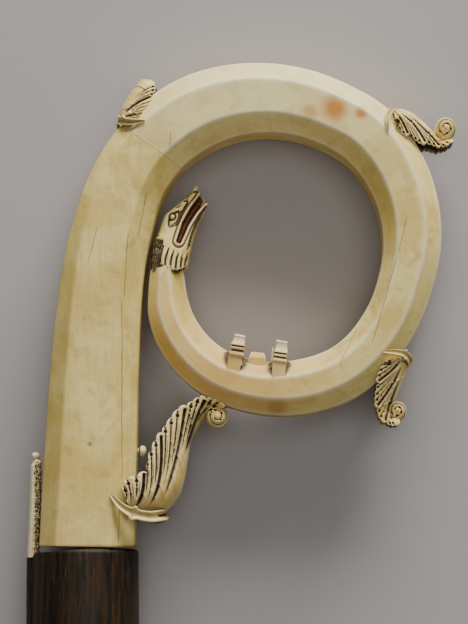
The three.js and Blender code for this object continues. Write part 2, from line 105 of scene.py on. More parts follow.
# %% [markdown]
# The crook is a run of eight-sided sections. These are the same stations as the frame's: the straight
# lower length, and the ring clockwise by angle round its centre. Edges of worked ivory are never
# sharp, so each corner of a section becomes a short curve.
# %% Sections of the crook
RING_CENTRE = np.array([64.9, 106.8])
JOINT_OUTER = np.array([12.4, 150.7])
JOINT_INNER = np.array([34.5, 135.4])
SHANK_DEPTH = 32
# Place along; outside x, y; inside x, y; outer and inner bevel.
SHANK_STATIONS = [
    [0, -15.9, 0.7, 17.8, 0.0, 6.2, 7.4],
    [1, -14.4, 31.0, 18.4, 31.0, 6.4, 7.9],
    [2, -12.3, 62.5, 19.0, 61.5, 6.2, 8.0],
    [3, -9.1, 93.5, 20.2, 90.5, 5.6, 7.6],
    [4, -4.4, 116.5, 23.0, 109.5, 5.0, 7.4],
    [5, 3.2, 136.8, 27.2, 124.6, 5.1, 7.3],
    [6, 12.4, 150.7, 34.0, 135.1, 5.4, 7.3],
    [7, 24.5, 162.4, 44.0, 143.2, 6.2, 7.1],
]
# Angle; inner, outer radius; depth; inner and outer bevel.
RING_STATIONS = [
    [155, 42.5, 68.4, 32.0, 7.3, 5.4],
    [120, 41.8, 68.8, 32.0, 7.1, 6.6],
    [90, 41.7, 66.8, 32.0, 6.4, 6.5],
    [65, 42.1, 65.8, 32.0, 6.0, 6.2],
    [48, 42.8, 66.3, 31.5, 6.3, 6.0],
    [20, 42.2, 64.1, 30.5, 5.6, 6.0],
    [0, 41.6, 62.3, 30.0, 4.7, 6.0],
    [-15, 41.3, 61.0, 29.3, 4.6, 6.1],
    [-32, 41.8, 61.1, 28.5, 5.0, 5.7],
    [-55, 42.6, 62.2, 27.0, 5.5, 6.2],
    [-75, 41.3, 61.0, 25.2, 5.8, 5.8],
    [-95, 40.2, 59.0, 23.8, 6.1, 5.5],
    [-115, 38.8, 56.9, 22.4, 6.3, 5.3],
    [-135, 35.8, 53.0, 20.6, 6.3, 5.0],
    [-150, 33.0, 48.9, 19.2, 5.9, 4.4],
    [-160, 31.4, 45.2, 18.4, 5.2, 4.1],
    [-170, 30.8, 42.3, 17.6, 4.5, 3.8],
]
SOFTNESS = 0.75


def octagons(inner, outer, depth, inner_bevel, outer_bevel, grow=0.0, soft=SOFTNESS):
    """Rings of points round the crook: four on each softened corner, two on each side."""
    across = outer - inner
    width = np.linalg.norm(across, axis=1)
    across = across / width[:, None]
    high = depth / 2 + grow
    a = inner_bevel + grow * (1 - math.tan(math.pi / 8))
    b = outer_bevel + grow * (1 - math.tan(math.pi / 8))
    left, right = np.full_like(width, -grow), width + grow
    corners = np.stack([
        np.stack([left, left + a, right - b, right, right, right - b, left + a, left], 1),
        np.stack([-high + a, -high, -high, -high + b, high - b, high, high, high - a], 1),
    ], -1)

    def towards(start, end):
        line = end - start
        return start + soft * line / np.linalg.norm(line, axis=-1, keepdims=True)

    before = towards(corners, np.roll(corners, 1, axis=1))
    after = towards(corners, np.roll(corners, -1, axis=1))
    following = np.roll(before, -1, axis=1)
    points = [(1 - u) ** 2 * before + 2 * u * (1 - u) * corners + u ** 2 * after
              for u in (0, 0.34, 0.66, 1)]
    points += [after + u * (following - after) for u in (0.34, 0.66)]
    flat = np.stack(points, 2).reshape(len(width), -1, 2)
    plan = inner[:, None, :] + across[:, None, :] * flat[..., :1]
    return np.concatenate([plan, flat[..., 1:]], -1)


def shank_sections(place, **how):
    row = between(SHANK_STATIONS, place)
    depth = np.full(len(row), float(SHANK_DEPTH))
    return octagons(row[:, 3:5], row[:, 1:3], depth, row[:, 6], row[:, 5], **how)


def ring_sections(angle, **how):
    row = between(RING_STATIONS, angle)
    turn = np.radians(angle)
    out = np.stack([np.cos(turn), np.sin(turn)], 1)
    inner, outer = (RING_CENTRE + out * row[:, k:k + 1] for k in (1, 2))
    return octagons(inner, outer, row[:, 3], row[:, 4], row[:, 5], **how)


def with_flats(sections, parts=5, long=1.5):
    """Split the long sides of every section, so that values painted on points stay local."""
    side = np.linalg.norm(np.roll(sections, -1, 1) - sections, axis=2).mean(0)
    columns = []
    for k, length in enumerate(side):
        ahead = sections[:, (k + 1) % sections.shape[1]]
        for w in (np.arange(parts) / parts if length > long else [0.0]):
            columns.append(sections[:, k] * (1 - w) + ahead * w)
    return np.stack(columns, 1)


print("sections:", shank_sections([0, 1]).shape, with_flats(ring_sections([90, 0])).shape)

# %% [markdown]
# The work lies on its back, tipped by less than a degree onto the points that carry it. The tilt is
# the frame's, and the shift comes from comparing the shank's own corner with the node's box.
# %% From the flat plan to the frame
REST_PITCH = math.radians(-0.73)
REST_ROLL = math.radians(0.28)
TIPPED = np.array(Matrix.Rotation(REST_PITCH, 3, "X") @ Matrix.Rotation(REST_ROLL, 3, "Y"))

sharp_shank = shank_sections(np.linspace(0, 7, 29), soft=0.01) @ TIPPED.T
lowest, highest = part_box("shank")
SHIFT = np.array([
    lowest[0] / MM - sharp_shank[..., 0].min(),
    lowest[1] / MM - sharp_shank[..., 1].min(),
    highest[2] / MM - sharp_shank[..., 2].max(),
])


def placed(points):
    """Millimetres on the plan, as metres in the frame."""
    return (np.asarray(points, float) @ TIPPED.T + SHIFT) * MM


print("shift in mm:", SHIFT.round(2))

# %% [markdown]
# A piece is a closed skin. Most are lofts: rings of points joined in turn, with a fan over each end.
# Booleans join what is carved of one block and cut one piece back from the next. The points keep two
# numbers for the paint: how deep they lie in a hollow, and how much red-brown is left in the mouth.
# %% Closed skins and booleans


def loft(sections):
    """Vertices and faces of a closed skin over rings of points, shaped (rings, points, 3)."""
    rows, n = sections.shape[:2]
    verts = np.vstack([sections.reshape(-1, 3), sections[0].mean(0), sections[-1].mean(0)])
    i, j = np.meshgrid(np.arange(rows - 1), np.arange(n), indexing="ij")
    a, b = i * n + j, i * n + (j + 1) % n
    faces = np.stack([a, b, b + n, a + n], -1).reshape(-1, 4).tolist()
    first, last = rows * n, rows * n + 1
    for j in range(n):
        k = (j + 1) % n
        faces.append([first, k, j])
        faces.append([last, (rows - 1) * n + j, (rows - 1) * n + k])
    return verts, faces


def write_values(mesh, label, values):
    """A number for each point of a mesh, under a name that materials and trees read."""
    if label not in mesh.attributes:
        mesh.attributes.new(label, "FLOAT", "POINT")
    mesh.attributes[label].data.foreach_set("value", values.astype(np.float32))


def piece(name, verts, faces, **paint):
    """An object from a closed skin on the plan, its normals out, with named values at its points."""
    mesh = bpy.data.meshes.new(name)
    mesh.from_pydata(placed(verts).tolist(), [], faces)
    for label in {"recess": 0, "mouth": 0, **paint}:
        values = np.zeros(len(verts), np.float32)
        given = np.asarray(paint.get(label, 0.0), np.float32).ravel()
        values[:len(given)] = given
        write_values(mesh, label, values)
    form = bmesh.new()
    form.from_mesh(mesh)
    bmesh.ops.remove_doubles(form, verts=form.verts, dist=1e-7)
    bmesh.ops.dissolve_degenerate(form, edges=form.edges, dist=1e-8)
    bmesh.ops.recalc_face_normals(form, faces=form.faces)
    form.to_mesh(mesh)
    form.free()
    made = bpy.data.objects.new(name, mesh)
    bpy.context.collection.objects.link(made)
    return made


def outward(made, merge=True):
    """Turn the faces of a closed mesh outwards, and merge the points that coincide if asked."""
    form = bmesh.new()
    form.from_mesh(made.data)
    if merge:
        bmesh.ops.remove_doubles(form, verts=form.verts, dist=1e-7)
    bmesh.ops.recalc_face_normals(form, faces=form.faces)
    form.to_mesh(made.data)
    form.free()
    return made


def settle(made):
    """Apply the modifiers of an object to its mesh."""
    graph = bpy.context.evaluated_depsgraph_get()
    mesh = bpy.data.meshes.new_from_object(
        made.evaluated_get(graph), preserve_all_data_layers=True, depsgraph=graph)
    made.modifiers.clear()
    made.data = mesh


def joined(made, *others, how="UNION", keep=False):
    """Join other closed skins to a piece, or cut them out of it, one after another."""
    for other in others:
        step = made.modifiers.new("step", "BOOLEAN")
        step.operation = how
        step.solver = "MANIFOLD"
        step.object = other
        settle(made)
        if not keep:
            bpy.data.objects.remove(other)
    return made


def without_crumbs(made):
    """Keep the largest connected body of a piece."""
    form = bmesh.new()
    form.from_mesh(made.data)
    form.verts.ensure_lookup_table()
    body = np.full(len(form.verts), -1)
    sizes = []
    for seed in range(len(body)):
        if body[seed] >= 0:
            continue
        body[seed] = len(sizes)
        stack, count = [form.verts[seed]], 0
        while stack:
            vert = stack.pop()
            count += 1
            for edge in vert.link_edges:
                other = edge.other_vert(vert)
                if body[other.index] < 0:
                    body[other.index] = len(sizes)
                    stack.append(other)
        sizes.append(count)
    main = int(np.argmax(sizes))
    crumbs = [vert for vert, label in zip(form.verts, body) if label != main]
    bmesh.ops.delete(form, geom=crumbs, context="VERTS")
    form.to_mesh(made.data)
    form.free()
    return made


GAP = 0.12


def joint_block(side, distance):
    """A block on one side of the joint between the two lengths of ivory."""
    along = (JOINT_INNER - JOINT_OUTER) / np.linalg.norm(JOINT_INNER - JOINT_OUTER)
    across = np.array([-along[1], along[0]])
    near = (JOINT_OUTER + JOINT_INNER) / 2 + across * distance * side
    far = near + across * 26 * side
    plan = [near - along * 30, near + along * 30, far + along * 30, far - along * 30]
    rings = np.array([[[x, y, z] for x, y in plan] for z in (-30, 30)])
    return piece("joint_block", *loft(rings))


def shank_skin(name, grow=0.0, steps=180):
    made = piece(name, *loft(shank_sections(np.linspace(0, 7, steps), grow=grow)))
    return joined(made, joint_block(1, grow - GAP / 2), how="DIFFERENCE")


def ring_skin(name, grow=0.0, steps=330):
    rings = ring_sections(np.linspace(155, -170, steps), grow=grow)
    made = piece(name, *loft(rings if grow else with_flats(rings)))
    return joined(made, joint_block(-1, grow - GAP / 2), how="DIFFERENCE")


shank = shank_skin("crook_lower_length")
ring = ring_skin("crook_ring")
grown_shank = shank_skin("grown_shank", grow=GAP, steps=60)
grown_ring = ring_skin("grown_ring", grow=GAP, steps=110)
print("shank and ring:", len(shank.data.polygons), len(ring.data.polygons), "faces")

# %% [markdown]
# Carving is drawn as strokes on the plan, as a carver draws them on the flank before cutting. The
# distance to a stroke gives the depth of the cut, and the skin moves in along its own normals.
# %% Strokes and relief


def along(line, count=24):
    """A line through a few points, as a chain of short straight lengths."""
    return through(line, np.linspace(0, 1, count))


def distance(points, line):
    """How far points (..., 2) lie from a chain, where on it, from 0 to 1, and on which side."""
    flat = points.reshape(-1, 2)
    best = np.full(len(flat), 1e9)
    where = np.zeros(len(flat))
    side = np.zeros(len(flat))
    line = np.asarray(line, float)
    for k, (a, b) in enumerate(zip(line[:-1], line[1:])):
        edge = b - a
        w = np.clip((flat - a) @ edge / max(edge @ edge, 1e-12), 0, 1)
        off = flat - a - w[:, None] * edge
        gap = np.linalg.norm(off, axis=1)
        nearer = gap < best
        best[nearer] = gap[nearer]
        where[nearer] = (k + w[nearer]) / (len(line) - 1)
        side[nearer] = np.sign(edge[0] * off[nearer, 1] - edge[1] * off[nearer, 0])
    shape = points.shape[:-1]
    return best.reshape(shape), where.reshape(shape), side.reshape(shape)


def ends_of(where, start, end):
    return smoothstep(where / start) * smoothstep((1 - where) / end)


def cut(points, line, width, depth, fade=0.15):
    """Depth of a stroke of a round gouge, which fades in and out at its ends."""
    gap, where, _ = distance(points, line)
    return depth * np.exp(-(gap / width) ** 2) * ends_of(where, fade, fade)


def groove(points, line, width, depth, start=0.3, end=0.1):
    """Depth of a V-shaped groove: two of them side by side leave a round ridge between."""
    gap, where, _ = distance(points, line)
    near = smoothstep(5 - gap / width)
    return depth * np.exp(-gap / width) * near * ends_of(where, start, end)


def normals(grid):
    """Unit normals of a grid of points, towards +Z."""
    rise, run = np.gradient(grid, axis=0), np.gradient(grid, axis=1)
    n = np.cross(run, rise)
    n *= np.where(n[..., 2].mean() < 0, -1, 1)
    return n / np.maximum(np.linalg.norm(n, axis=-1, keepdims=True), 1e-9)


def mirrored(grid):
    return grid * np.array([1, 1, -1])


print("a stroke cuts", cut(np.array([[1.0, 0.0]]), [[0, 0], [1, 0], [2, 0]], 0.3, 0.5).round(2), "mm")

# %% [markdown]
# Every leaf tip has small round eyelets, drilled where two fingers meet, with a drop below each. A
# Geometry Nodes tree puts one tapered bit on each marked point, turned and sized by the point's own
# values, and the bits are cut out of the leaf in one go.
# %% Geometry Nodes: drill bits on points


def node_group(name, inputs):
    """A geometry tree with a mesh going in and out, and named numbers with default values."""
    tree = bpy.data.node_groups.new(name, "GeometryNodeTree")
    tree.interface.new_socket("Geometry", in_out="INPUT", socket_type="NodeSocketGeometry")
    for label, (kind, value) in inputs.items():
        socket = tree.interface.new_socket(label, in_out="INPUT", socket_type=kind)
        if value is not None:
            socket.default_value = value
    tree.interface.new_socket("Geometry", in_out="OUTPUT", socket_type="NodeSocketGeometry")
    return tree


def add(tree, kind, **values):
    """A node of a geometry tree. Values are settings, numbers, or (node, socket) links."""
    node = tree.nodes.new(kind)
    for label, value in values.items():
        if hasattr(node, label) and not isinstance(value, tuple):
            setattr(node, label, value)
            continue
        socket = node.inputs[label.replace("_", " ")] if isinstance(label, str) else node.inputs[label]
        if isinstance(value, tuple) and isinstance(value[0], bpy.types.Node):
            tree.links.new(value[0].outputs[value[1]], socket)
        else:
            socket.default_value = value
    return node


def run_tree(made, tree, **inputs):
    """Put a geometry tree on an object with its inputs set, and apply it."""
    modifier = made.modifiers.new(tree.name, "NODES")
    modifier.node_group = tree
    for item in tree.interface.items_tree:
        if item.item_type == "SOCKET" and item.name in inputs:
            modifier[item.identifier] = inputs[item.name]
    settle(made)
    return made


bit_paint = bpy.data.materials.new("drilled")
bit_tree = node_group("drill bits", {
    "Sides": ("NodeSocketInt", 10),
    "Length": ("NodeSocketFloat", 3 * MM),
    "Taper": ("NodeSocketFloat", 0.55),
})
entry = add(bit_tree, "NodeGroupInput")
bit = add(bit_tree, "GeometryNodeMeshCone", fill_type="TRIANGLE_FAN", Vertices=(entry, "Sides"),
          Radius_Top=1.0, Radius_Bottom=(entry, "Taper"), Depth=(entry, "Length"))
size = add(bit_tree, "GeometryNodeInputNamedAttribute", data_type="FLOAT_VECTOR", Name="size")
turn = add(bit_tree, "GeometryNodeInputNamedAttribute", data_type="FLOAT_VECTOR", Name="turn")
copies = add(bit_tree, "GeometryNodeInstanceOnPoints", Points=(entry, "Geometry"),
             Instance=(bit, "Mesh"), Rotation=(turn, "Attribute"), Scale=(size, "Attribute"))
real = add(bit_tree, "GeometryNodeRealizeInstances", Geometry=(copies, "Instances"))
coated = add(bit_tree, "GeometryNodeSetMaterial", Geometry=(real, "Geometry"), Material=bit_paint)
out = add(bit_tree, "NodeGroupOutput", Geometry=(coated, "Geometry"))


def drill_bits(drills, length=3.0):
    """Bits at (x, y, z, radius, stretch, angle in degrees), for both faces of the work."""
    drills = np.asarray(drills, float)
    sides = np.repeat([1.0, -1.0], len(drills))
    drills = np.vstack([drills, drills])
    spots = drills[:, :3] * np.stack([np.ones_like(sides), np.ones_like(sides), sides], 1)
    mesh = bpy.data.meshes.new("drill_bits")
    mesh.from_pydata(placed(spots).tolist(), [], [])
    size = np.stack([drills[:, 3] * MM, drills[:, 3] * drills[:, 4] * MM, sides], 1)
    turn = np.stack([np.zeros(len(sides)), np.zeros(len(sides)), np.radians(drills[:, 5])], 1)
    for label, values in (("size", size), ("turn", turn)):
        data = mesh.attributes.new(label, "FLOAT_VECTOR", "POINT").data
        data.foreach_set("vector", values.astype(np.float32).ravel())
    bits = bpy.data.objects.new("drill_bits", mesh)
    bpy.context.collection.objects.link(bits)
    run_tree(bits, bit_tree, Length=length * MM, Sides=12)
    outward(bits, merge=False)
    # The walls of every hole are painted fully dark: painted shade inside the drilled holes.
    write_values(bits.data, "recess", np.ones(len(bits.data.vertices)))
    return bits


trial = drill_bits([[0, 0, 0, 1, 1, 0]])
print("one bit on each face:", len(trial.data.vertices), "points")
bpy.data.objects.remove(trial)

# %% [markdown]
# An acanthus leaf is folded over its crest, with one flank to the front and one behind. Its rim is a
# row of round fingers in groups. The veins leave the collar side by side, run along the crest and bend
# out, one to each crease of the rim; deeper ones part the groups. Where the leaf stands free of the
# crook it is hollow behind the rim. The grid is fine enough for the gouge, and the drill does the rest.
# %% The leaf


class Leaf:
    """The flank of one leaf: its crest, its rim and how its veins flow between them."""

    def __init__(self, crest, rim, bow, depth, groups, notch, flow, lobe=0.8):
        self.crest, self.rim, self.bow, self.depth = crest, rim, bow, depth
        self.groups, self.notch, self.lobe = groups, notch, lobe
        self.fingers = sum(groups)
        self.bounds = np.concatenate([[0], np.cumsum(groups)])
        self.partings = self.bounds[1:-1]
        self.flow = np.array(flow, float)

    def frill(self, s):
        """How far the rim is cut back: round fingers, and each group starts further in."""
        finger = s * self.fingers
        nearest = np.round(finger)
        x = np.clip(1 - 2 * np.abs(finger - nearest), 0, 1)
        deep = np.where(np.isin(nearest, self.partings), 1.7, 1.0)
        rank = np.clip(np.searchsorted(self.bounds, finger, side="right") - 1, 0, len(self.groups) - 1)
        way = (finger - self.bounds[rank]) / np.array(self.groups)[rank]
        late = np.where(rank > 0, (1 - way) ** 1.5, 0) * self.lobe
        return ((1 - np.sqrt(1 - x ** 2)) * deep) * self.notch + late

    def flank(self, s, v):
        """Points (len(s), len(v), 3) from the crest, v = 0, out to the rim, v = 1."""
        step = 1e-3
        start, end = through(self.crest, s), through(self.rim, s)
        heading = through(self.crest, s + step) - through(self.crest, s - step)
        heading /= np.maximum(np.linalg.norm(heading, axis=1, keepdims=True), 1e-9)
        reach = np.linalg.norm(end - start, axis=1)[:, None]
        bend = start + 0.4 * (end - start) + heading * self.bow * reach
        cut_back = self.frill(s)[:, None] / reach
        u = (v[None, :] * (1 - cut_back))[..., None]
        plan = (start[:, None] * (1 - u) ** 2 + 2 * bend[:, None] * u * (1 - u)
                + end[:, None] * u ** 2)
        rise = (1 - (1 - np.clip(v, 0, 1)) ** 2.4) ** (1 / 2.4)
        z = self.depth(s)[:, None] * rise[None, :]
        return np.concatenate([plan, np.maximum(z, 0.05)[..., None]], -1)

    def vein(self, crease, reach=1.0):
        """The stroke that runs to one crease of the rim. A half crease is the middle of a finger."""
        ends = crease / self.fingers
        starts = np.interp(ends, self.flow[:, 0], self.flow[:, 1])
        halfway = (starts + ends) / 2
        back = self.frill(np.array([ends]))[0] * 0.55

        def spot(s, v):
            a, b = through(self.crest, s)[0], through(self.rim, s)[0]
            return a + (b - a) * (v - v * back / np.linalg.norm(b - a))

        a, b, c = spot(starts, 0.1), spot(halfway, 0.24), spot(ends, reach)
        w = np.linspace(0, 1, 24)[:, None]
        return (1 - w) ** 2 * a + 2 * w * (1 - w) * b + w ** 2 * c


def carve_leaf(name, leaf, rows, columns, hollow, wall=1.4, floor=0.45, fine=1.0):
    """The leaf as one closed skin: front flank, rim, hollow and back flank, with its veins cut."""
    s = np.linspace(0, 1, rows)
    v = 1 - (1 - np.linspace(0, 1, columns)) ** 1.15
    front = leaf.flank(s, v)
    plan = front[..., :2]
    depth = np.zeros(front.shape[:2])
    line_dark = np.zeros(front.shape[:2])
    for half in range(1, 2 * leaf.fingers):
        crease = half / 2
        line = leaf.vein(crease)
        if crease in leaf.partings:
            one = groove(plan, line, 0.4 * fine, 1.7 * fine, 0.5, 0.02)
            gap, where, side = distance(plan, line)
            lip = 0.5 * np.exp(-(gap / 1.1) ** 2) * (side > 0) * ends_of(where, 0.7, 0.02)
            depth -= lip * (1 - np.exp(-gap / 0.25))
            one = one + groove(plan, line, 0.9 * fine, 0.35, 0.4, 0.02)
        elif half % 2 == 0:
            one = groove(plan, line[5 + 3 * (half // 2 % 2):], 0.32 * fine, 1.2 * fine, 0.6, 0.02)
        else:
            one = groove(plan, line[8 + 3 * (half // 2 % 2):22], 0.2 * fine, 0.75 * fine, 0.5, 0.3)
        line_dark = np.maximum(line_dark, one)
    depth += line_dark
    worn = 0.35 * smoothstep((v - 0.93) / 0.07) ** 2
    front = front - normals(front) * (depth + worn[None, :])[..., None]
    front[..., 2] = np.maximum(front[..., 2], 0.05)

    # The hollow: from the rim in to where the two flanks meet, as deep as the leaf stands free.
    open_to = 1 - np.maximum(hollow(s), 0.04) * (1 - floor)
    levels = np.linspace(0, 1, 9)
    inner = np.stack([
        leaf.flank(s, np.array([1.0]))[:, 0] * (1 - w)
        + np.stack([leaf.flank(s[i:i + 1], open_to[i:i + 1])[0, 0] for i in range(rows)]) * w
        for w in levels], 1)
    slack = np.minimum(depth.max(1), 0.5)[:, None]
    inner[..., 2] = np.maximum(inner[..., 2] - wall - slack, 0.25)
    loops = np.concatenate([
        front, inner, mirrored(inner[:, ::-1]), mirrored(front[:, ::-1])], 1)
    # The grooves are painted dark, as dirt and painted shade, and the hollow behind the rim is painted
    # darker the deeper it goes: painted shade.
    dark_front = np.clip((line_dark - 0.22) / 0.55, 0, 1)
    dark_inner = np.repeat(0.55 + 0.35 * levels[None, :], rows, 0)
    recess = np.concatenate([dark_front, dark_inner, dark_inner[:, ::-1], dark_front[:, ::-1]], 1)
    return piece(name, *loft(loops), recess=recess), front


def drill_at(front, spot, radius, stretch, angle, depth=1.2):
    """A drill place whose hole is this deep under the carved surface."""
    gap = np.linalg.norm(front[..., :2] - np.array(spot), axis=-1)
    return [*spot, front[..., 2].flat[np.argmin(gap)] - depth, radius, stretch, angle]


def eyelets(leaf, front, back=1.9, radius=0.9):
    """Drill places for a leaf: by each plain crease an eyelet, and a narrow drop further in."""
    places = []
    for crease in range(1, leaf.fingers):
        if crease in leaf.partings:
            continue
        line = leaf.vein(crease)
        steps = np.linalg.norm(np.diff(line, axis=0), axis=1)
        reach = np.concatenate([np.cumsum(steps[::-1])[::-1], [0]])
        for away, size, stretch in ((back, radius, 1.15), (back + 1.9, radius * 0.5, 2.0)):
            k = int(np.clip(np.searchsorted(-reach, -away), 1, len(line) - 2))
            spot, ahead = line[k], line[k + 1] - line[k - 1]
            angle = math.degrees(math.atan2(ahead[1], ahead[0])) - 90
            places.append(drill_at(front, spot, size, stretch, angle))
    return places


# %% [markdown]
# The tip of a leaf rolls up into a scroll: a drum with a raised rim, from which a spiral runs in to a
# small rosette with holes between its petals. The collar at the leaf's foot is a band with a bead along
# its upper edge. It laps over the bevel and runs out to a point on the front face, and again behind.
# %% Scrolls and collars


def coil_radius(angle, radius, swell):
    """Outline of a scroll, by the angle turned since the leaf runs into it."""
    return radius * (1 + swell * (np.exp(-angle / 0.7) + np.exp(-(2 * math.pi - angle) / 0.2)))


def carve_scroll(name, centre, radius, half, turn, start, swell, turns=2.3):
    """A closed drum whose two faces are a ribbon rolled inwards, with two fine lines along it."""
    rings, around = 56, 150
    ratio = np.linspace(0.001, 1, rings)[:, None]
    angle = np.linspace(0, 2 * math.pi, around, endpoint=False)[None, :]
    r = ratio * coil_radius(angle, radius, swell)
    plan = np.stack([centre[0] + r * np.cos(start + turn * angle),
                     centre[1] + r * np.sin(start + turn * angle)], -1)
    coil = turns * (1 - ratio) - angle / (2 * math.pi)

    def line(offset, width, depth):
        off = np.abs((coil - offset + 0.5) % 1 - 0.5)
        return depth * np.exp(-off / width)

    inner = smoothstep((ratio - 0.2) / 0.12)
    dark = (line(0.0, 0.09, 1.5) * inner * smoothstep((0.985 - ratio) / 0.05)
            + line(0.36, 0.05, 0.7) * smoothstep((ratio - 0.42) / 0.15) * (ratio < 0.97)
            + line(0.68, 0.05, 0.6) * smoothstep((ratio - 0.5) / 0.15) * (ratio < 0.97))
    rim = smoothstep((ratio - 0.86) / 0.14) ** 2
    z = half * (1 - 0.25 * ratio ** 4) - 0.8 * rim - 0.8 * dark + 0.5 * smoothstep((0.24 - ratio) / 0.15)
    faces = np.concatenate([plan, z[..., None]], -1)
    loops = np.concatenate([faces, mirrored(faces[::-1])], 0)
    # The spiral's lines are painted dark: dirt and painted shade in the grooves.
    recess = np.clip((dark - 0.2) / 0.8, 0, 1)
    return piece(name, *loft(loops), recess=np.concatenate([recess, recess[::-1]], 0))


def scroll_holes(centre, radius, half, turn, start, turns=2.3):
    """Eyelets along the ribbon where it ends near the middle of the scroll."""
    places = []
    for share, size in ((0.9, 0.5), (1.08, 0.55), (1.26, 0.55), (1.47, 0.5), (1.75, 0.4)):
        angle = 2 * math.pi * share
        r = (1 - (share - 0.12) / turns) * radius
        heading = start + turn * angle
        places.append([centre[0] + r * math.cos(heading), centre[1] + r * math.sin(heading),
                       half - 1.9, size, 1.3, math.degrees(heading)])
    return places


def carve_collar(name, route, width, thickness, peak=None):
    """A band along a route in the round, and its twin behind, pointed at the far end."""
    steps = 120
    t = np.linspace(0, 1, steps)
    path = through(route, t)
    heading = np.gradient(path, axis=0)
    heading /= np.linalg.norm(heading, axis=1, keepdims=True)
    hub = np.array([path[:, 0].mean(), path[:, 1].mean(), 0])
    outward = np.cross(heading, np.cross(path - hub, heading))
    outward[:, 2] += 0.35 * np.linalg.norm(outward, axis=1)
    outward /= np.linalg.norm(outward, axis=1, keepdims=True)
    upward = np.cross(outward, heading)
    upward /= np.linalg.norm(upward, axis=1, keepdims=True)
    taper = np.sqrt(np.clip(1.04 - t ** 2.2, 0.02, 1))
    half = width / 2 * taper
    if peak:
        half = half + peak[1] * np.exp(-((t - peak[0]) / 0.035) ** 2)
    thick = thickness * np.clip(taper, 0.25, 1)
    # Across the band: an upper bead, a hollow field and a thin lower edge.
    profile = [(1.0, 0.0), (1.06, 0.55), (0.92, 0.95), (0.68, 1.0), (0.5, 0.72), (0.2, 0.45),
               (-0.2, 0.38), (-0.6, 0.5), (-0.85, 0.62), (-1.0, 0.45), (-1.0, 0.0), (-0.6, -0.9),
               (0.6, -0.9)]
    fine = through([*profile, profile[0]], np.linspace(0, 1, 40, endpoint=False))
    half = half * (0.62 + 0.38 * smoothstep(t / 0.12))
    slit = smoothstep(t / 0.03) * smoothstep((0.3 - t) / 0.1)
    lowered = slit[:, None] * np.exp(-((fine[None, :, 0] - 0.1) / 0.22) ** 2) * (fine[None, :, 1] > 0)
    loops = (path[:, None] + upward[:, None] * (fine[None, :, :1] * half[:, None, None])
             + outward[:, None] * ((fine[None, :, 1] - 0.6 * lowered) * thick[:, None])[..., None])
    # The hollow field is painted dark, most where it lies lowest, and the sides and underside of the
    # band nearly black: dirt, and painted shade under the band.
    field = np.clip(1.15 - fine[:, 1] * 1.5, 0, 0.7) * (fine[:, 1] > 0.1) + 0.9 * (fine[:, 1] <= 0.1)
    dark = np.maximum(field[None, :].repeat(steps, 0), lowered)
    return [piece(name, *loft(side), recess=dark) for side in (loops, mirrored(loops))]


print("leaf tools ready")

# %% [markdown]
# The head is one skin from crown to throat, with the mane's lower edge overhanging the neck. The mouth
# is a slot that widens to the jaw tips: its outline is measured from an axis with a radius at each
# joint, and the cut goes down inside it, up over the lip and into the groove outside the lip.
# %% The serpent's head
HEAD_BACK = [[23.0, 97.5], [22.7, 102], [23.2, 107], [24.6, 110.8], [25.9, 113], [27.0, 116.5],
             [28.2, 119.5], [30.8, 121.8], [35.0, 125.3], [38.9, 129.6]]
HEAD_JAW = [[35.6, 97.5], [36.3, 102], [37.6, 107], [38.9, 112], [40.6, 116.5], [42.6, 120.6],
            [43.6, 123.2]]
HEAD_HALF_DEPTH = [[0, 8.6], [0.3, 8.2], [0.55, 6.4], [0.8, 4.6], [1, 3.4]]
MANE_EDGE = [[22.9, 96.9], [24.6, 99.0], [26.8, 101.2], [28.4, 100.1], [30.3, 99.2], [32.3, 98.8],
             [34.3, 99.4], [36.1, 100.8]]
MANE_GROOVES = [0.30, 0.44, 0.58, 0.71, 0.83, 0.93]
MOUTH_AXIS = [(33.5, 109.5, 1.4), (35.85, 116.05, 1.75), (38.7, 121.1, 1.9), (42.6, 126.0, 2.2)]
EYE = np.array([30.9, 118.8])


def mouth_distance(plan):
    """Distance outside the lips, negative inside the mouth, and distance from its axis."""
    best = np.full(plan.shape[:-1], 1e9)
    axis = best.copy()
    for (ax, ay, ar), (bx, by, br) in zip(MOUTH_AXIS[:-1], MOUTH_AXIS[1:]):
        a, edge = np.array([ax, ay]), np.array([bx - ax, by - ay])
        w = np.clip(((plan - a) @ edge) / (edge @ edge), 0, 1)
        gap = np.linalg.norm(plan - a - w[..., None] * edge, axis=-1)
        best = np.minimum(best, gap - (ar + w * (br - ar)))
        axis = np.minimum(axis, gap)
    return best, axis


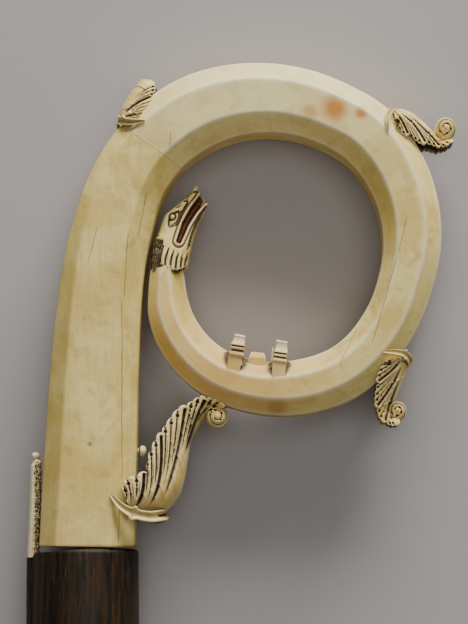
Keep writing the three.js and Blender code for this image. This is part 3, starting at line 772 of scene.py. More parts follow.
def head_relief(plan, s, t):
    """Height of the carving over the plain head in millimetres, the dark of its cut lines as dirt and
    painted shade, and the mask of the mouth.
    """
    lip, axis = mouth_distance(plan)
    form = (-2.2 * smoothstep((-0.4 - lip) / 0.3) + 0.5 * np.exp(-(lip / 0.38) ** 2)
            + 1.0 * np.exp(-((axis - 0.25) / 0.42) ** 2) * smoothstep((-0.75 - lip) / 0.3))
    lines = 1.2 * np.exp(-np.abs(lip - 0.84) / 0.24) + 1.0 * np.exp(-((lip + 0.62) / 0.24) ** 2)
    # Eye: a ball in an almond hollow with a groove round it, and a second lid line outside.
    slant = math.radians(58)
    rel = plan - np.array([31.4, 118.0])
    u = rel @ np.array([math.cos(slant), math.sin(slant)])
    w = rel @ np.array([-math.sin(slant), math.cos(slant)])
    almond = np.abs(w) / 1.75 + (u / 3.5) ** 2
    ball = np.linalg.norm(plan - EYE, axis=-1)
    form -= 0.7 * smoothstep((1 - almond) / 0.3)
    form += 1.15 * np.sqrt(np.clip(1 - (ball / 1.0) ** 2, 0, 1))
    lines = (lines + 1.6 * np.exp(-np.abs(almond - 0.9) / 0.17)
             + 1.3 * np.exp(-((ball - 1.25) / 0.26) ** 2))
    right_side = smoothstep((-w - 0.2) / 0.5)
    lines += 1.0 * np.exp(-np.abs(almond - 1.45) / 0.15) * right_side
    # Brow and snout.
    for spot, radius, lift in (((34.7, 123.4), 0.6, 0.6), ((38.9, 128.6), 0.7, 0.5),
                               ((37.6, 126.9), 0.45, 0.3), ((32.2, 121.9), 0.5, 0.3)):
        form += lift * np.exp(-(np.linalg.norm(plan - np.array(spot), axis=-1) / radius) ** 2)
    strokes = [
        ([[33.9, 118.9], [34.9, 121.4], [36.2, 123.6], [36.5, 125.4]], 0.24, 1.6),
        ([[31.9, 121.6], [32.9, 122.5], [34.0, 122.8]], 0.26, 1.3),
        ([[34.6, 124.2], [35.5, 124.6], [36.0, 124.2]], 0.28, 1.5),
        ([[35.5, 125.9], [36.5, 125.7]], 0.24, 1.6), ([[36.3, 126.8], [37.2, 126.3]], 0.24, 1.6),
        ([[37.2, 127.6], [38.0, 126.8]], 0.24, 1.6),
        ([[37.9, 128.1], [38.9, 127.7], [40.1, 128.4]], 0.24, 1.3),
        ([[40.3, 127.3], [38.6, 124.6], [37.6, 122.6]], 0.14, 0.6),
        ([[24.6, 109.0], [25.6, 107.4], [26.6, 105.6]], 0.24, 1.6),
        ([[25.3, 109.9], [26.3, 108.0], [27.3, 106.0]], 0.24, 1.6),
        ([[26.1, 110.4], [27.1, 108.6], [28.1, 106.7]], 0.24, 1.6),
        ([[24.0, 110.9], [25.3, 111.7], [26.6, 111.6]], 0.22, 0.9)]
    # Short hatching along the jaw, from its tip down to the mane.
    for spot in along([[42.3, 121.6], [40.9, 118.4], [39.4, 115.2], [38.0, 111.4], [37.0, 107.4]], 14):
        strokes.append((spot + np.array([[0.75, 1.5], [0.0, 0.0], [-0.6, -1.5]]), 0.2, 1.7))
    for line, width, depth in strokes:
        lines += groove(plan, along(line, 8), width, depth, 0.25, 0.25)
    # The mane: strands that hang in a ruff, and rough locks down the back.
    ruff = smoothstep((s - 0.0) / 0.015) * smoothstep((0.27 - s + 0.03 * np.cos(t * 40)) / 0.06)
    for mark in MANE_GROOVES:
        lines += 2.0 * np.exp(-np.abs(t - mark - 0.03 * (s / 0.3)) / 0.017) * ruff
    form += 0.5 * ruff * (t > 0.28)
    locks = smoothstep((0.29 - t) / 0.03) * smoothstep((0.36 - s) / 0.05)
    phase = (plan[..., 0] * 0.9 + plan[..., 1] * 0.55 + 0.35 * np.sin(plan[..., 1] * 2.1)) * 1.15
    lines += locks * (0.25 + 0.9 * np.abs(np.sin(phase * math.pi)) ** 0.8)
    mouth = smoothstep((-0.5 - lip) / 0.25)
    # The cut lines are painted dark: dirt, and painted shade in the lines.
    dirt_and_shade = np.clip((lines - 0.15) / 0.6, 0, 1)
    return form - np.minimum(lines, 1.8) * 0.6, dirt_and_shade, mouth


def carve_head():
    s = np.linspace(0, 1, 230)
    t = (1 - np.cos(np.linspace(0, math.pi, 106))) / 2
    back, jaw = through(HEAD_BACK, s), through(HEAD_JAW, s)
    plan = back[:, None] * (1 - t[None, :, None]) + jaw[:, None] * t[None, :, None]
    # The first row follows the scalloped edge of the mane.
    edges = np.array([0.28, *MANE_GROOVES, 1.0])
    strand = np.clip(np.interp(t, edges, np.arange(len(edges))), 0, len(edges) - 1)
    lobe = np.where(t > 0.28, 1 - np.sqrt(np.clip(1 - (2 * (strand % 1) - 1) ** 2, 0, 1)), 0)
    edge = through(MANE_EDGE, t) + np.stack([0 * t, 0.8 * lobe], 1)
    plan += (edge - plan[0])[None] * (1 - smoothstep(s / 0.24))[:, None, None]
    half = between(HEAD_HALF_DEPTH, s)[:, 1:2]
    round_off = np.clip(1 - np.abs(2 * t - 1) ** 3.2, 0, 1) ** (1 / 3.2)
    front = np.concatenate([plan, (half * round_off[None, :])[..., None]], -1)
    height, dark, mouth = head_relief(plan, s[:, None] + 0 * t, t[None, :] + 0 * s[:, None])
    front = front + normals(front) * height[..., None]
    front[..., 2] = np.maximum(front[..., 2], 0.0)
    loops = np.concatenate([front, mirrored(front[:, -2:0:-1])], 1)
    # The locks on the back are painted dark as well: dirt and painted shade.
    back_locks = smoothstep((0.29 - t) / 0.03)[None] * smoothstep((0.34 - s) / 0.05)[:, None]
    dark = np.maximum(dark, 0.55 * back_locks)

    def both(values):
        return np.concatenate([values, values[:, -2:0:-1]], 1)

    head = piece("head", *loft(loops), recess=both(dark), mouth=both(mouth))
    nostril = bmesh.new()
    bmesh.ops.create_icosphere(nostril, subdivisions=3, radius=0.9)
    verts = np.array([v.co for v in nostril.verts]) + np.array([39.3, 129.3, 0])
    faces = [[v.index for v in f.verts] for f in nostril.faces]
    nostril.free()
    joined(head, piece("nostril", verts, faces))
    # The jaws part at their tips, with the tongue against the upper one.
    notch = [[43.9, 125.2], [42.9, 125.6], [41.3, 122.9], [41.7, 122.5], [42.9, 123.6], [44.4, 123.8]]
    # The walls of the parting between the jaws are painted dark: painted shade in the gap.
    gap = piece("gap", *loft(np.array([[[x, y, z] for x, y in notch] for z in (-9, 9)])), recess=0.6)
    return joined(head, gap, how="DIFFERENCE")


head = carve_head()
print("head:", len(head.data.polygons), "faces")

# %% [markdown]
# Three square supports of a lost figure stand inside the ring, broken off at the top. Each is a stack
# of sections that follows a few rows of height, middle, half-width and front; saw-cuts nick it all
# round. Two of them run down as flat tabs, flush with the ring's face, and a sliver stands by one.
# %% The broken supports
SUPPORT_LEFT = [
    [65.0, 54.1, 2.1, 10.6], [67.8, 54.15, 2.1, 10.6], [68.0, 54.15, 2.5, 11.75],
    [69.4, 54.3, 2.5, 11.75], [70.5, 54.5, 2.45, 11.75], [71.9, 54.6, 2.5, 11.8],
    [72.3, 54.75, 2.35, 11.6], [73.2, 55.05, 2.1, 11.2],
    [74.4, 55.3, 1.95, 11.0], [75.1, 55.4, 2.0, 11.1], [75.6, 55.4, 1.75, 10.8]]
SUPPORT_RIGHT = [
    [62.5, 69.3, 2.0, 11.2], [65.6, 69.5, 2.0, 11.2], [65.8, 69.55, 2.35, 12.35],
    [67.0, 69.6, 2.35, 12.35], [68.0, 69.75, 2.3, 12.3], [69.2, 69.95, 2.4, 12.3],
    [69.7, 70.05, 2.3, 12.1], [70.8, 70.2, 2.05, 11.7],
    [72.0, 70.3, 1.95, 11.6], [72.9, 70.3, 2.05, 11.7], [73.4, 70.3, 1.8, 11.3]]
SUPPORT_MIDDLE = [
    [63.5, 61.5, 3.2, 7.4], [66.4, 61.5, 3.2, 7.4], [67.9, 61.55, 2.95, 7.3], [68.3, 61.6, 2.75, 6.7],
    [69.3, 61.65, 2.45, 4.9], [69.7, 61.65, 2.2, 4.2]]
SLIVER = [
    [64.0, 66.8, 0.34, 9.8], [67.2, 66.85, 0.34, 9.8], [70.4, 67.15, 0.3, 9.6], [71.1, 67.2, 0.18, 9.4]]
TAB_LEFT = [[60.9, 52.6, 2.35, 11.3], [63.2, 53.0, 2.4, 11.3], [68.2, 53.95, 2.45, 11.3]]
TAB_RIGHT = [[58.6, 69.0, 2.3, 11.95], [61.0, 69.15, 2.35, 11.95], [66.0, 69.35, 2.35, 11.95]]


def rounded_square(half_x, half_z, soft=0.35):
    """A square with small quarter-round corners, seen from above."""
    turn = np.linspace(0, math.pi / 2, 4)
    corners = []
    for k, (sx, sz) in enumerate(((1, 1), (-1, 1), (-1, -1), (1, -1))):
        angle = turn + k * math.pi / 2
        corners.append(np.stack([sx * (half_x - soft) + soft * np.cos(angle),
                                 sz * (half_z - soft) + soft * np.sin(angle)], 1))
    return np.concatenate(corners)


def carve_support(rows, depth, cuts=(), slant=0.0, soft=0.3, steps=130):
    """A square post on rows of (y, middle, half-width, front z), nicked by saw-cuts."""
    heights = np.linspace(rows[0][0], rows[-1][0], steps)
    rings, darks = [], []
    for y in heights:
        _, x, half, front = between(rows, np.array([y]))[0]
        nick = max([math.exp(-(abs(y - at) / wide) ** 4) for at, wide in cuts], default=0.0)
        square = rounded_square(half - 0.5 * nick, depth / 2 - 0.5 * nick, min(soft, half * 0.8))
        rise = (y - rows[0][0]) / (rows[-1][0] - rows[0][0])
        ragged = 0.16 * np.sin(square[:, 0] * 3.1 + x) * smoothstep((rise - 0.85) / 0.1) * bool(cuts)
        rings.append(np.stack([x + square[:, 0], y + slant * square[:, 0] + ragged,
                               front - depth / 2 + square[:, 1]], 1))
        # The saw-cuts are painted dark: painted shade and dirt in the nicks.
        darks.append(np.full(len(square), 1.25 * nick))
    return piece("support", *loft(np.array(rings)), recess=np.clip(darks, 0, 1))


supports = [
    carve_support(SUPPORT_LEFT, 9.0, [(71.45, 0.3), (69.85, 0.42)], -0.16),
    carve_support(SUPPORT_RIGHT, 9.0, [(68.75, 0.3), (67.3, 0.36)], -0.14),
    carve_support(SUPPORT_MIDDLE, 8.0, (), -0.1),
    carve_support(SLIVER, 4.0, (), 0.0, 0.1, 20),
    carve_support(TAB_LEFT, 6.0, (), 0.0, 0.12, 20),
    carve_support(TAB_RIGHT, 6.0, (), 0.0, 0.12, 20),
]
volute = joined(ring, head, *supports)
volute.name = "crook_ring_and_serpent"
without_crumbs(volute)
print("ring with head and supports:", len(volute.data.polygons), "faces")

# %% [markdown]
# The three crockets grow outward from the ring, and the bracket leaf braces the ring against the shank.
# Each is cut back to stand a hair's breadth off the ivory that carries it.
# %% The four leaves


def fade(first, last):
    return lambda s: first + (last - first) * s


def finish_leaf(name, leaf, rows, columns, hollow, collar, scroll=None, drills=(),
                eyes=(2.0, 0.9), **how):
    """Carve, drill and collar one leaf, and cut it back from the ivory that carries it."""
    made, front = carve_leaf(name, leaf, rows, columns, hollow, **how)
    bits = [drill_at(front, *drill) for drill in drills]
    bits += eyelets(leaf, front, *eyes)
    if scroll:
        made = joined(made, carve_scroll(name + "_scroll", *scroll))
        bits += scroll_holes(*scroll[:-1])
    joined(made, drill_bits(bits), how="DIFFERENCE")
    joined(made, *collar)
    joined(made, grown_ring, grown_shank, how="DIFFERENCE", keep=True)
    return without_crumbs(made)


upper_left = finish_leaf(
    "leaf_upper_left",
    Leaf(
        crest=[[12.6, 152.4], [11.8, 155.6], [12.8, 159.2], [16.7, 165.4], [19.2, 168.6], [22.4, 168.6]],
        rim=[[17.5, 151.8], [20.4, 153.4], [23.0, 156.6], [24.3, 160.2], [25.2, 163.4], [24.9, 166.6]],
        bow=0.2, depth=fade(15.2, 9.0), groups=[3, 4, 4], notch=0.6,
        flow=[(0, 0), (0.6, 0.06), (1, 0.2)]),
    200, 64, lambda s: 0.5 * smoothstep((s - 0.45) / 0.2) * smoothstep((0.95 - s) / 0.1),
    carve_collar("collar", [[12.2, 153.8, 0], [11.9, 153.0, 7], [13.2, 152.2, 11.8],
                            [16.6, 151.4, 15.6], [21.6, 151.6, 16.5]], 3.4, 1.5, peak=(0.55, 0.7)),
    drills=[((18.3, 154.4), 0.75, 2.6, 80, 1.5)], eyes=(1.3, 0.62), fine=0.72)
upper_right = finish_leaf(
    "leaf_upper_right",
    Leaf(
        crest=[[109.8, 155.6], [112.4, 157.8], [117.2, 156.4], [121.4, 153.2], [124.8, 149.6],
               [127.4, 146.8], [131.2, 146.6]],
        rim=[[111.2, 150.2], [113.2, 147.4], [116.6, 145.6], [120.0, 143.8], [124.2, 143.2],
             [128.4, 142.6], [132.4, 145.4]],
        bow=0.25, depth=fade(15.0, 7.8), groups=[4, 4, 3, 3], notch=0.7,
        flow=[(0, 0), (0.5, 0.04), (0.8, 0.2), (1, 0.6)]),
    250, 64, lambda s: 0.75 * smoothstep((s - 0.3) / 0.2) * smoothstep((0.9 - s) / 0.1),
    carve_collar("collar", [[110.6, 157.4, 0], [109.8, 156.6, 7], [108.8, 154.6, 12],
                            [108.0, 151.6, 15.4], [108.2, 147.6, 16.1]], 2.3, 1.2),
    scroll=([129.3, 150.6], 3.75, 6.8, 1, -1.9, 0.45),
    drills=[((111.6, 151.6), 1.5, 1.0, 0, 1.6)], eyes=(1.3, 0.62), fine=0.66)
lower_right = finish_leaf(
    "leaf_lower_right",
    Leaf(
        crest=[[112.6, 68.4], [115.2, 65.8], [114.7, 61.4], [113.0, 57.6], [111.2, 54.0],
               [109.2, 50.2], [109.6, 47.4], [112.0, 46.6]],
        rim=[[106.8, 66.2], [104.6, 62.4], [103.4, 58.4], [103.0, 53.6], [103.3, 49.4],
             [105.0, 45.4], [108.6, 42.9], [111.6, 43.2]],
        bow=0.3, depth=fade(14.2, 7.2), groups=[4, 4, 3, 3], notch=0.7,
        flow=[(0, 0), (0.5, 0.06), (0.8, 0.24), (1, 0.7)]),
    250, 64, lambda s: 0.75 * smoothstep((s - 0.3) / 0.2) * smoothstep((0.9 - s) / 0.1),
    carve_collar("collar", [[115.6, 65.6, 0], [115.7, 66.9, 6], [113.8, 68.4, 11], [110.6, 69.0, 14.2],
                            [106.0, 69.2, 14.9]], 3.0, 1.3, peak=(0.5, 0.6)),
    scroll=([111.4, 48.9], 3.25, 6.6, 1, -2.1, 0.7),
    drills=[((108.0, 65.4), 1.5, 1.2, 60, 1.6)], eyes=(1.3, 0.62), fine=0.66)
bracket = finish_leaf(
    "leaf_bracket",
    Leaf(
        crest=[[15.5, 12.8], [22.5, 12.4], [28.4, 12.9], [33.0, 17.4], [35.4, 24.2], [36.9, 32.6],
               [38.3, 38.2], [40.6, 43.2], [43.6, 47.0], [47.6, 48.6]],
        rim=[[13.8, 19.8], [15.0, 24.2], [20.2, 26.6], [22.6, 33.0], [25.6, 39.2], [28.5, 43.8],
             [32.6, 49.0], [37.2, 52.0], [41.6, 54.0], [46.0, 53.2], [50.4, 50.6]],
        bow=0.35, depth=lambda s: 16.6 - 7.6 * smoothstep(s * 1.25), groups=[4, 4, 4, 3, 3], notch=1.0,
        flow=[(0, 0), (0.22, 0.03), (0.44, 0.11), (0.67, 0.22), (0.83, 0.5), (1, 0.92)]),
    330, 80, lambda s: smoothstep((s - 0.04) / 0.12) * smoothstep((0.93 - s) / 0.1),
    carve_collar("collar", [[28.3, 12.0, 0], [27.2, 11.5, 9], [23.2, 11.0, 14.0], [17.8, 12.2, 16.2],
                            [13.6, 14.6, 16.9], [9.9, 18.6, 16.5]], 4.0, 1.8, peak=(0.6, 1.0)),
    scroll=([47.2, 46.6], 3.9, 8.4, -1, 2.3, 0.4),
    wall=2.0)
for leaf in (upper_left, upper_right, lower_right, bracket):
    print(leaf.name, len(leaf.data.polygons), "faces")
bpy.data.objects.remove(grown_ring)

# %% [markdown]
# The dark staff is a turned rod, so its shape follows a rule: a line with a radius at each point. The
# tree resamples a line, sets the radius from the distance to the top end, and sweeps a circle along
# it. The rib that carried the side strip is added, and the end is planed down towards the rib.
# %% Geometry Nodes: the end of the staff
STAFF_RADIUS = 18.9
STAFF_FLARE = 0.5
STAFF_LENGTH = 50.0
STAFF_TOP = -0.4
STAFF_RIM = 1.6
STAFF_SLOPE = 0.072
RIB_WIDTH = 2.2
RIB_TOP = -3.3

wood_paint = bpy.data.materials.new("dark_wood")
staff_tree = node_group("turned staff", {
    "Radius": ("NodeSocketFloat", STAFF_RADIUS * MM),
    "Flare": ("NodeSocketFloat", STAFF_FLARE * MM),
    "Length": ("NodeSocketFloat", STAFF_LENGTH * MM),
    "Rim": ("NodeSocketFloat", STAFF_RIM * MM),
})
entry = add(staff_tree, "NodeGroupInput")
foot = add(staff_tree, "ShaderNodeCombineXYZ")
negative = add(staff_tree, "ShaderNodeMath", operation="MULTIPLY", Value=(entry, "Length"))
negative.inputs[1].default_value = -1.0
staff_tree.links.new(negative.outputs[0], foot.inputs["Y"])
axis = add(staff_tree, "GeometryNodeCurvePrimitiveLine", Start=(foot, "Vector"), End=Vector((0, 0, 0)))
fine = add(staff_tree, "GeometryNodeResampleCurve", Curve=(axis, "Curve"), Count=180)
way = add(staff_tree, "GeometryNodeSplineParameter")


def sums(operation, a, b):
    """A Math node of the staff's tree, on two numbers or (node, socket) links."""
    node = add(staff_tree, "ShaderNodeMath", operation=operation)
    for slot, value in zip(node.inputs, (a, b)):
        if isinstance(value, tuple):
            staff_tree.links.new(value[0].outputs[value[1]], slot)
        else:
            slot.default_value = value
    return (node, "Value")


down = sums("SUBTRACT", (entry, "Length"), (way, "Length"))
swell = sums("MULTIPLY", sums("DIVIDE", down, (entry, "Length")), (entry, "Flare"))
near = sums("SUBTRACT", 1.0, sums("DIVIDE", down, (entry, "Rim")))
near = sums("MAXIMUM", near, 0.0)
fall = sums("SQRT", sums("SUBTRACT", 1.0, sums("POWER", near, 2.0)), 0.0)
fall = sums("MULTIPLY", sums("SUBTRACT", 1.0, fall), (entry, "Rim"))
girth = sums("SUBTRACT", sums("ADD", (entry, "Radius"), swell), fall)
circle = add(staff_tree, "GeometryNodeCurvePrimitiveCircle", Resolution=112, Radius=1.0)
swept = add(staff_tree, "GeometryNodeCurveToMesh", Curve=(fine, "Curve"),
            Profile_Curve=(circle, "Curve"), Scale=girth, Fill_Caps=True)
real = add(staff_tree, "GeometryNodeRealizeInstances", Geometry=(swept, "Mesh"))
coated = add(staff_tree, "GeometryNodeSetMaterial", Geometry=(real, "Geometry"), Material=wood_paint)
out = add(staff_tree, "NodeGroupOutput", Geometry=(coated, "Geometry"))


def into_place(made, shift):
    """Move a mesh that was made along the plan's axes, in metres, to where the piece lies."""
    points = np.empty(len(made.data.vertices) * 3)
    made.data.vertices.foreach_get("co", points)
    # Rounded once, as the mesh itself keeps its points.
    points = (points.reshape(-1, 3) + shift * MM).astype(np.float32).astype(float)
    made.data.vertices.foreach_set("co", placed(points / MM).astype(np.float32).ravel())
    return made


def make_staff():
    made = piece("staff_end", [[0, 0, 0]], [])
    run_tree(made, staff_tree, Radius=STAFF_RADIUS * MM, Flare=STAFF_FLARE * MM,
             Length=(STAFF_LENGTH + STAFF_TOP) * MM, Rim=STAFF_RIM * MM)
    outward(into_place(made, np.array([0, STAFF_TOP, 0])))
    turn = np.linspace(0, 2 * math.pi, 40, endpoint=False)
    rib_radius = RIB_WIDTH * 1.6
    heights = [-STAFF_LENGTH, -30, RIB_TOP - 0.5, RIB_TOP]
    rib = np.array([[[-STAFF_RADIUS + RIB_WIDTH * 0.6 + rib_radius * w * math.cos(a), y,
                      1.4 * rib_radius * w * math.sin(a)] for a in turn]
                    for y, w in zip(heights, (1, 1, 1, 0.88))])
    slope = []
    for z in (-40, 40):
        slope.append([[3, STAFF_TOP, z], [3, 12, z], [-60, 12, z],
                      [-60, STAFF_TOP - 63 * STAFF_SLOPE, z]])
    joined(made, piece("rib", *loft(rib)))
    joined(made, piece("slope", *loft(np.array(slope))), how="DIFFERENCE")
    made.data.materials.clear()
    return without_crumbs(made)


staff = make_staff()
print("staff:", len(staff.data.polygons), "faces")

# %% [markdown]
# A strip of pale material is left on the rib and the foot of the shank. Its outer face is smooth; where
# it has broken back it is granular, so a Geometry Nodes tree scatters small beads over that side, with
# a fixed seed, and they are cut out as pits. The bead is a turned peg in the inner side of the shank.
# %% The broken strip and the bead
STRIP_STATIONS = [[-3.4, -20.6, -16.9, 5.5], [12.8, -19.9, -16.4, 5.2], [28.7, -19.5, -16.2, 4.6],
                  [30.6, -19.0, -16.3, 3.6], [31.6, -18.8, -17.0, 3.0]]
GRAIN_POINTS = 42
BEAD_STEM = [18.75, 34.4, 4.0]
BEAD_PROFILE = [[0, 0], [1.0, 0.0], [1.15, 0.35], [0.85, 0.6], [1.6, 0.95], [1.95, 1.7],
                [1.8, 2.4], [1.1, 2.95], [0, 3.1]]

pit_tree = node_group("pits", {
    "Spacing": ("NodeSocketFloat", 0.42 * MM),
    "Smallest": ("NodeSocketFloat", 0.16 * MM),
    "Largest": ("NodeSocketFloat", 0.42 * MM),
    "Seed": ("NodeSocketInt", 7),
})
entry = add(pit_tree, "NodeGroupInput")
worn = add(pit_tree, "GeometryNodeInputNamedAttribute", data_type="FLOAT", Name="worn")
spread = add(pit_tree, "GeometryNodeDistributePointsOnFaces", distribute_method="POISSON",
             Mesh=(entry, "Geometry"), Distance_Min=(entry, "Spacing"), Density_Max=9e6,
             Density_Factor=(worn, "Attribute"), Seed=(entry, "Seed"))
grain = add(pit_tree, "GeometryNodeMeshIcoSphere", Radius=1.0, Subdivisions=2)
sizes = add(pit_tree, "FunctionNodeRandomValue", data_type="FLOAT", Seed=(entry, "Seed"))
for slot in sizes.inputs:
    if slot.name == "Min" and slot.type == "VALUE":
        pit_tree.links.new(entry.outputs["Smallest"], slot)
    if slot.name == "Max" and slot.type == "VALUE":
        pit_tree.links.new(entry.outputs["Largest"], slot)
random_size = next(s for s in sizes.outputs if s.type == "VALUE")
pits = add(pit_tree, "GeometryNodeInstanceOnPoints", Points=(spread, "Points"), Instance=(grain, "Mesh"))
pit_tree.links.new(random_size, pits.inputs["Scale"])
real = add(pit_tree, "GeometryNodeRealizeInstances", Geometry=(pits, "Instances"))
coated = add(pit_tree, "GeometryNodeSetMaterial", Geometry=(real, "Geometry"), Material=bit_paint)
out = add(pit_tree, "NodeGroupOutput", Geometry=(coated, "Geometry"))


def make_strip():
    stations = [STRIP_STATIONS[0]]
    for y in np.linspace(-3.0, 31.4, 120):
        stations.append([y, *between(STRIP_STATIONS, np.array([y]))[0, 1:]])
    stations.append(STRIP_STATIONS[-1])
    rings = []
    for y, left, right, half in stations:
        wave = 0.16 * math.sin(y * 1.9) + 0.12 * math.sin(y * 4.3 + 1)
        corners = [[left + 0.9, half], [(left + right) / 2 + 0.3, half * 0.93 + wave * 0.6],
                   [right + wave, half * 0.8], [right + wave, 0], [right + wave, -half * 0.8],
                   [(left + right) / 2 + 0.3, -half * 0.93 - wave * 0.6], [left + 0.9, -half],
                   [left, -half + 1.3], [left, 0], [left, half - 1.3]]
        ring = []
        for a, b in zip(corners, corners[1:] + corners[:1]):
            for w in np.linspace(0, 1, 5)[:-1]:
                ring.append([a[0] + (b[0] - a[0]) * w, y, a[1] + (b[1] - a[1]) * w])
        rings.append(ring)
    rings = np.array(rings)
    worn_side = smoothstep((rings[..., 0] + 18.35) / 0.7) * smoothstep((31.0 - rings[..., 1]) / 1.5)
    made = piece("strip_broken", *loft(rings), recess=0.45 * worn_side)
    pits = piece("pits", *loft(rings), worn=worn_side)
    run_tree(pits, pit_tree, Seed=11)
    print("pits:", len(pits.data.vertices) // GRAIN_POINTS)
    joined(made, pits, how="DIFFERENCE")
    knob = []
    turn = np.linspace(0, 2 * math.pi, 36, endpoint=False)
    for polar in np.linspace(0.02, math.pi - 0.02, 24):
        wide = math.sin(polar) ** 0.8
        knob.append([[-18.1 + 1.55 * wide * math.cos(a), 32.75 - 1.45 * math.cos(polar),
                      3.3 * wide * math.sin(a)] for a in turn])
    return joined(made, piece("knob", *loft(np.array(knob))))


def make_bead():
    profile = through(BEAD_PROFILE, np.linspace(0, 1, 40))
    profile[:, 0] = np.maximum(profile[:, 0], 0.001)
    turn = np.linspace(0, 2 * math.pi, 40, endpoint=False)
    x0, y0, z0 = BEAD_STEM
    rings = np.array([[[x0 + x, y0 + r * math.sin(a), z0 + r * math.cos(a)] for a in turn]
                      for r, x in profile])
    # The bead is painted a quarter dark all over and darkest at its narrow neck: dirt, and painted shade
    # in the neck.
    dark = np.repeat(np.clip(1.1 - np.abs(profile[:, 1:] - 0.6) / 0.5, 0.25, 1), 40, 1)
    return piece("bead_turned", *loft(rings), recess=dark)


strip = make_strip()
joined(strip, staff, grown_shank, how="DIFFERENCE", keep=True)
without_crumbs(strip)
bead = make_bead()
joined(bead, grown_shank, how="DIFFERENCE")
without_crumbs(bead)
print("strip and bead:", len(strip.data.polygons), len(bead.data.polygons), "faces")

# %% [markdown]
# Hollows of a carving are painted dark, as dirt and painted shade, and its edges pale, as wear and
# painted highlight. Each point is compared with the mean of the points round it: where it lies below
# them the surface is hollow, where it stands above them it is an edge. Both are kept as values on the
# mesh, which the materials read.
# %% Hollows and edges


def shade_and_wear_values(made, rounds=10, span=0.22):
    """Write "recess" and "edge" on a piece from its shape and from the strokes that cut it."""
    mesh = made.data
    count = len(mesh.vertices)
    points = np.empty(count * 3)
    mesh.vertices.foreach_get("co", points)
    points = points.reshape(-1, 3) / MM
    pairs = np.empty(len(mesh.edges) * 2, dtype=np.int64)
    mesh.edges.foreach_get("vertices", pairs)
    a, b = pairs.reshape(-1, 2).T
    degree = np.bincount(a, minlength=count) + np.bincount(b, minlength=count)
    degree = np.maximum(degree, 1)
    mean = points.copy()
    for _ in range(rounds):
        mean = np.stack([(np.bincount(a, mean[b, k], count) + np.bincount(b, mean[a, k], count))
                         / degree for k in range(3)], 1)
    facing = np.empty(count * 3)
    mesh.vertex_normals.foreach_get("vector", facing)
    hollow = np.einsum("ij,ij->i", mean - points, facing.reshape(-1, 3)) / span
    length = np.linalg.norm(points[a] - points[b], axis=1)
    length = (np.bincount(a, length, count) + np.bincount(b, length, count)) / degree
    hollow *= smoothstep((1.3 - length) / 0.7)
    old = np.zeros(count)
    if "recess" in mesh.attributes:
        mesh.attributes["recess"].data.foreach_get("value", old)
    recess = np.clip(np.maximum(old, hollow), 0, 1)
    write_values(mesh, "recess", recess)
    write_values(mesh, "edge", np.clip(-hollow - 0.15, 0, 1))
    mesh.shade_smooth()
    mesh.set_sharp_from_angle(angle=SHARP)
    return recess.mean()


carved = [volute, upper_left, upper_right, lower_right, bracket, strip, bead]
print("mean recess:", [round(float(shade_and_wear_values(made)), 3) for made in carved])
for made in (shank, staff):
    made.data.shade_smooth()
    made.data.set_sharp_from_angle(angle=SHARP)

# %% [markdown]
# A material is a tree of nodes. A small class wraps one socket, so that sums are written as sums and
# each operation adds its Math node; every other node comes from one method.
# %% Writing materials as sums


class Wire:
    """One output socket in a material. Sums on it add Math nodes to the same material."""

    def __init__(self, tree, socket=None):
        self.tree, self.socket = tree, socket

    def node(self, kind, settings=None, sockets=None, out=0, stops=None):
        """Any node: its settings and ramp stops first, then numbers or wires for its sockets."""
        made = self.tree.nodes.new(kind)
        for name, value in (settings or {}).items():
            setattr(made, name, value)
        if stops:
            ramp = made.color_ramp
            while len(ramp.elements) > 1:
                ramp.elements.remove(ramp.elements[-1])
            for k, (place, colour) in enumerate(stops):
                stop = ramp.elements[0] if k == 0 else ramp.elements.new(place)
                stop.position, stop.color = place, colour
        for name, value in (sockets or {}).items():
            if isinstance(value, Wire):
                self.tree.links.new(value.socket, made.inputs[name])
            else:
                made.inputs[name].default_value = value
        return Wire(self.tree, made.outputs[out])

    def sum(self, operation, *terms):
        return self.node("ShaderNodeMath", {"operation": operation}, dict(enumerate(terms)))

    def __add__(self, other):
        return self.sum("ADD", self, other)

    def __sub__(self, other):
        return self.sum("SUBTRACT", self, other)

    def __rsub__(self, other):
        return self.sum("SUBTRACT", other, self)

    def __mul__(self, other):
        return self.sum("MULTIPLY", self, other)

    def __truediv__(self, other):
        return self.sum("DIVIDE", self, other)

    def __rtruediv__(self, other):
        return self.sum("DIVIDE", other, self)

    def __pow__(self, other):
        return self.sum("POWER", self, other)

    __radd__ = __add__
    __rmul__ = __mul__

    def size(self):
        return self.sum("ABSOLUTE", self)

    def most(self, other):
        return self.sum("MAXIMUM", self, other)

    def ease(self, low, high):
        """0 below low and 1 above high, smoothly; the other way round if low is the greater."""
        return self.node("ShaderNodeMapRange", {"interpolation_type": "SMOOTHSTEP"},
                         {"Value": self, "From Min": low, "From Max": high})

    def noise(self, scale, detail=3.0, rough=0.5, warp=0.0, stretch=(1, 1, 1)):
        """Noise of this many lumps to the millimetre, on a wire of positions."""
        where = self
        if stretch != (1, 1, 1):
            where = self.node("ShaderNodeVectorMath", {"operation": "MULTIPLY"}, {0: self, 1: stretch})
        return self.node("ShaderNodeTexNoise", None, {
            "Vector": where, "Scale": scale, "Detail": detail, "Roughness": rough, "Distortion": warp})

    def value_of(self, label):
        """The number that the mesh carries under this name."""
        return self.node("ShaderNodeAttribute", {"attribute_name": label}, out=2)

    def blend(self, under, over):
        """Two colours, mixed by this wire."""
        return self.node("ShaderNodeMix", {"data_type": "RGBA"}, {0: self, 6: under, 7: over}, out=2)


def srgb(red, green, blue):
    """A colour as painters' charts give it, 0 to 255, made linear."""
    def linear(value):
        value /= 255
        return value / 12.92 if value <= 0.04045 else ((value + 0.055) / 1.055) ** 2.4
    return (linear(red), linear(green), linear(blue), 1.0)


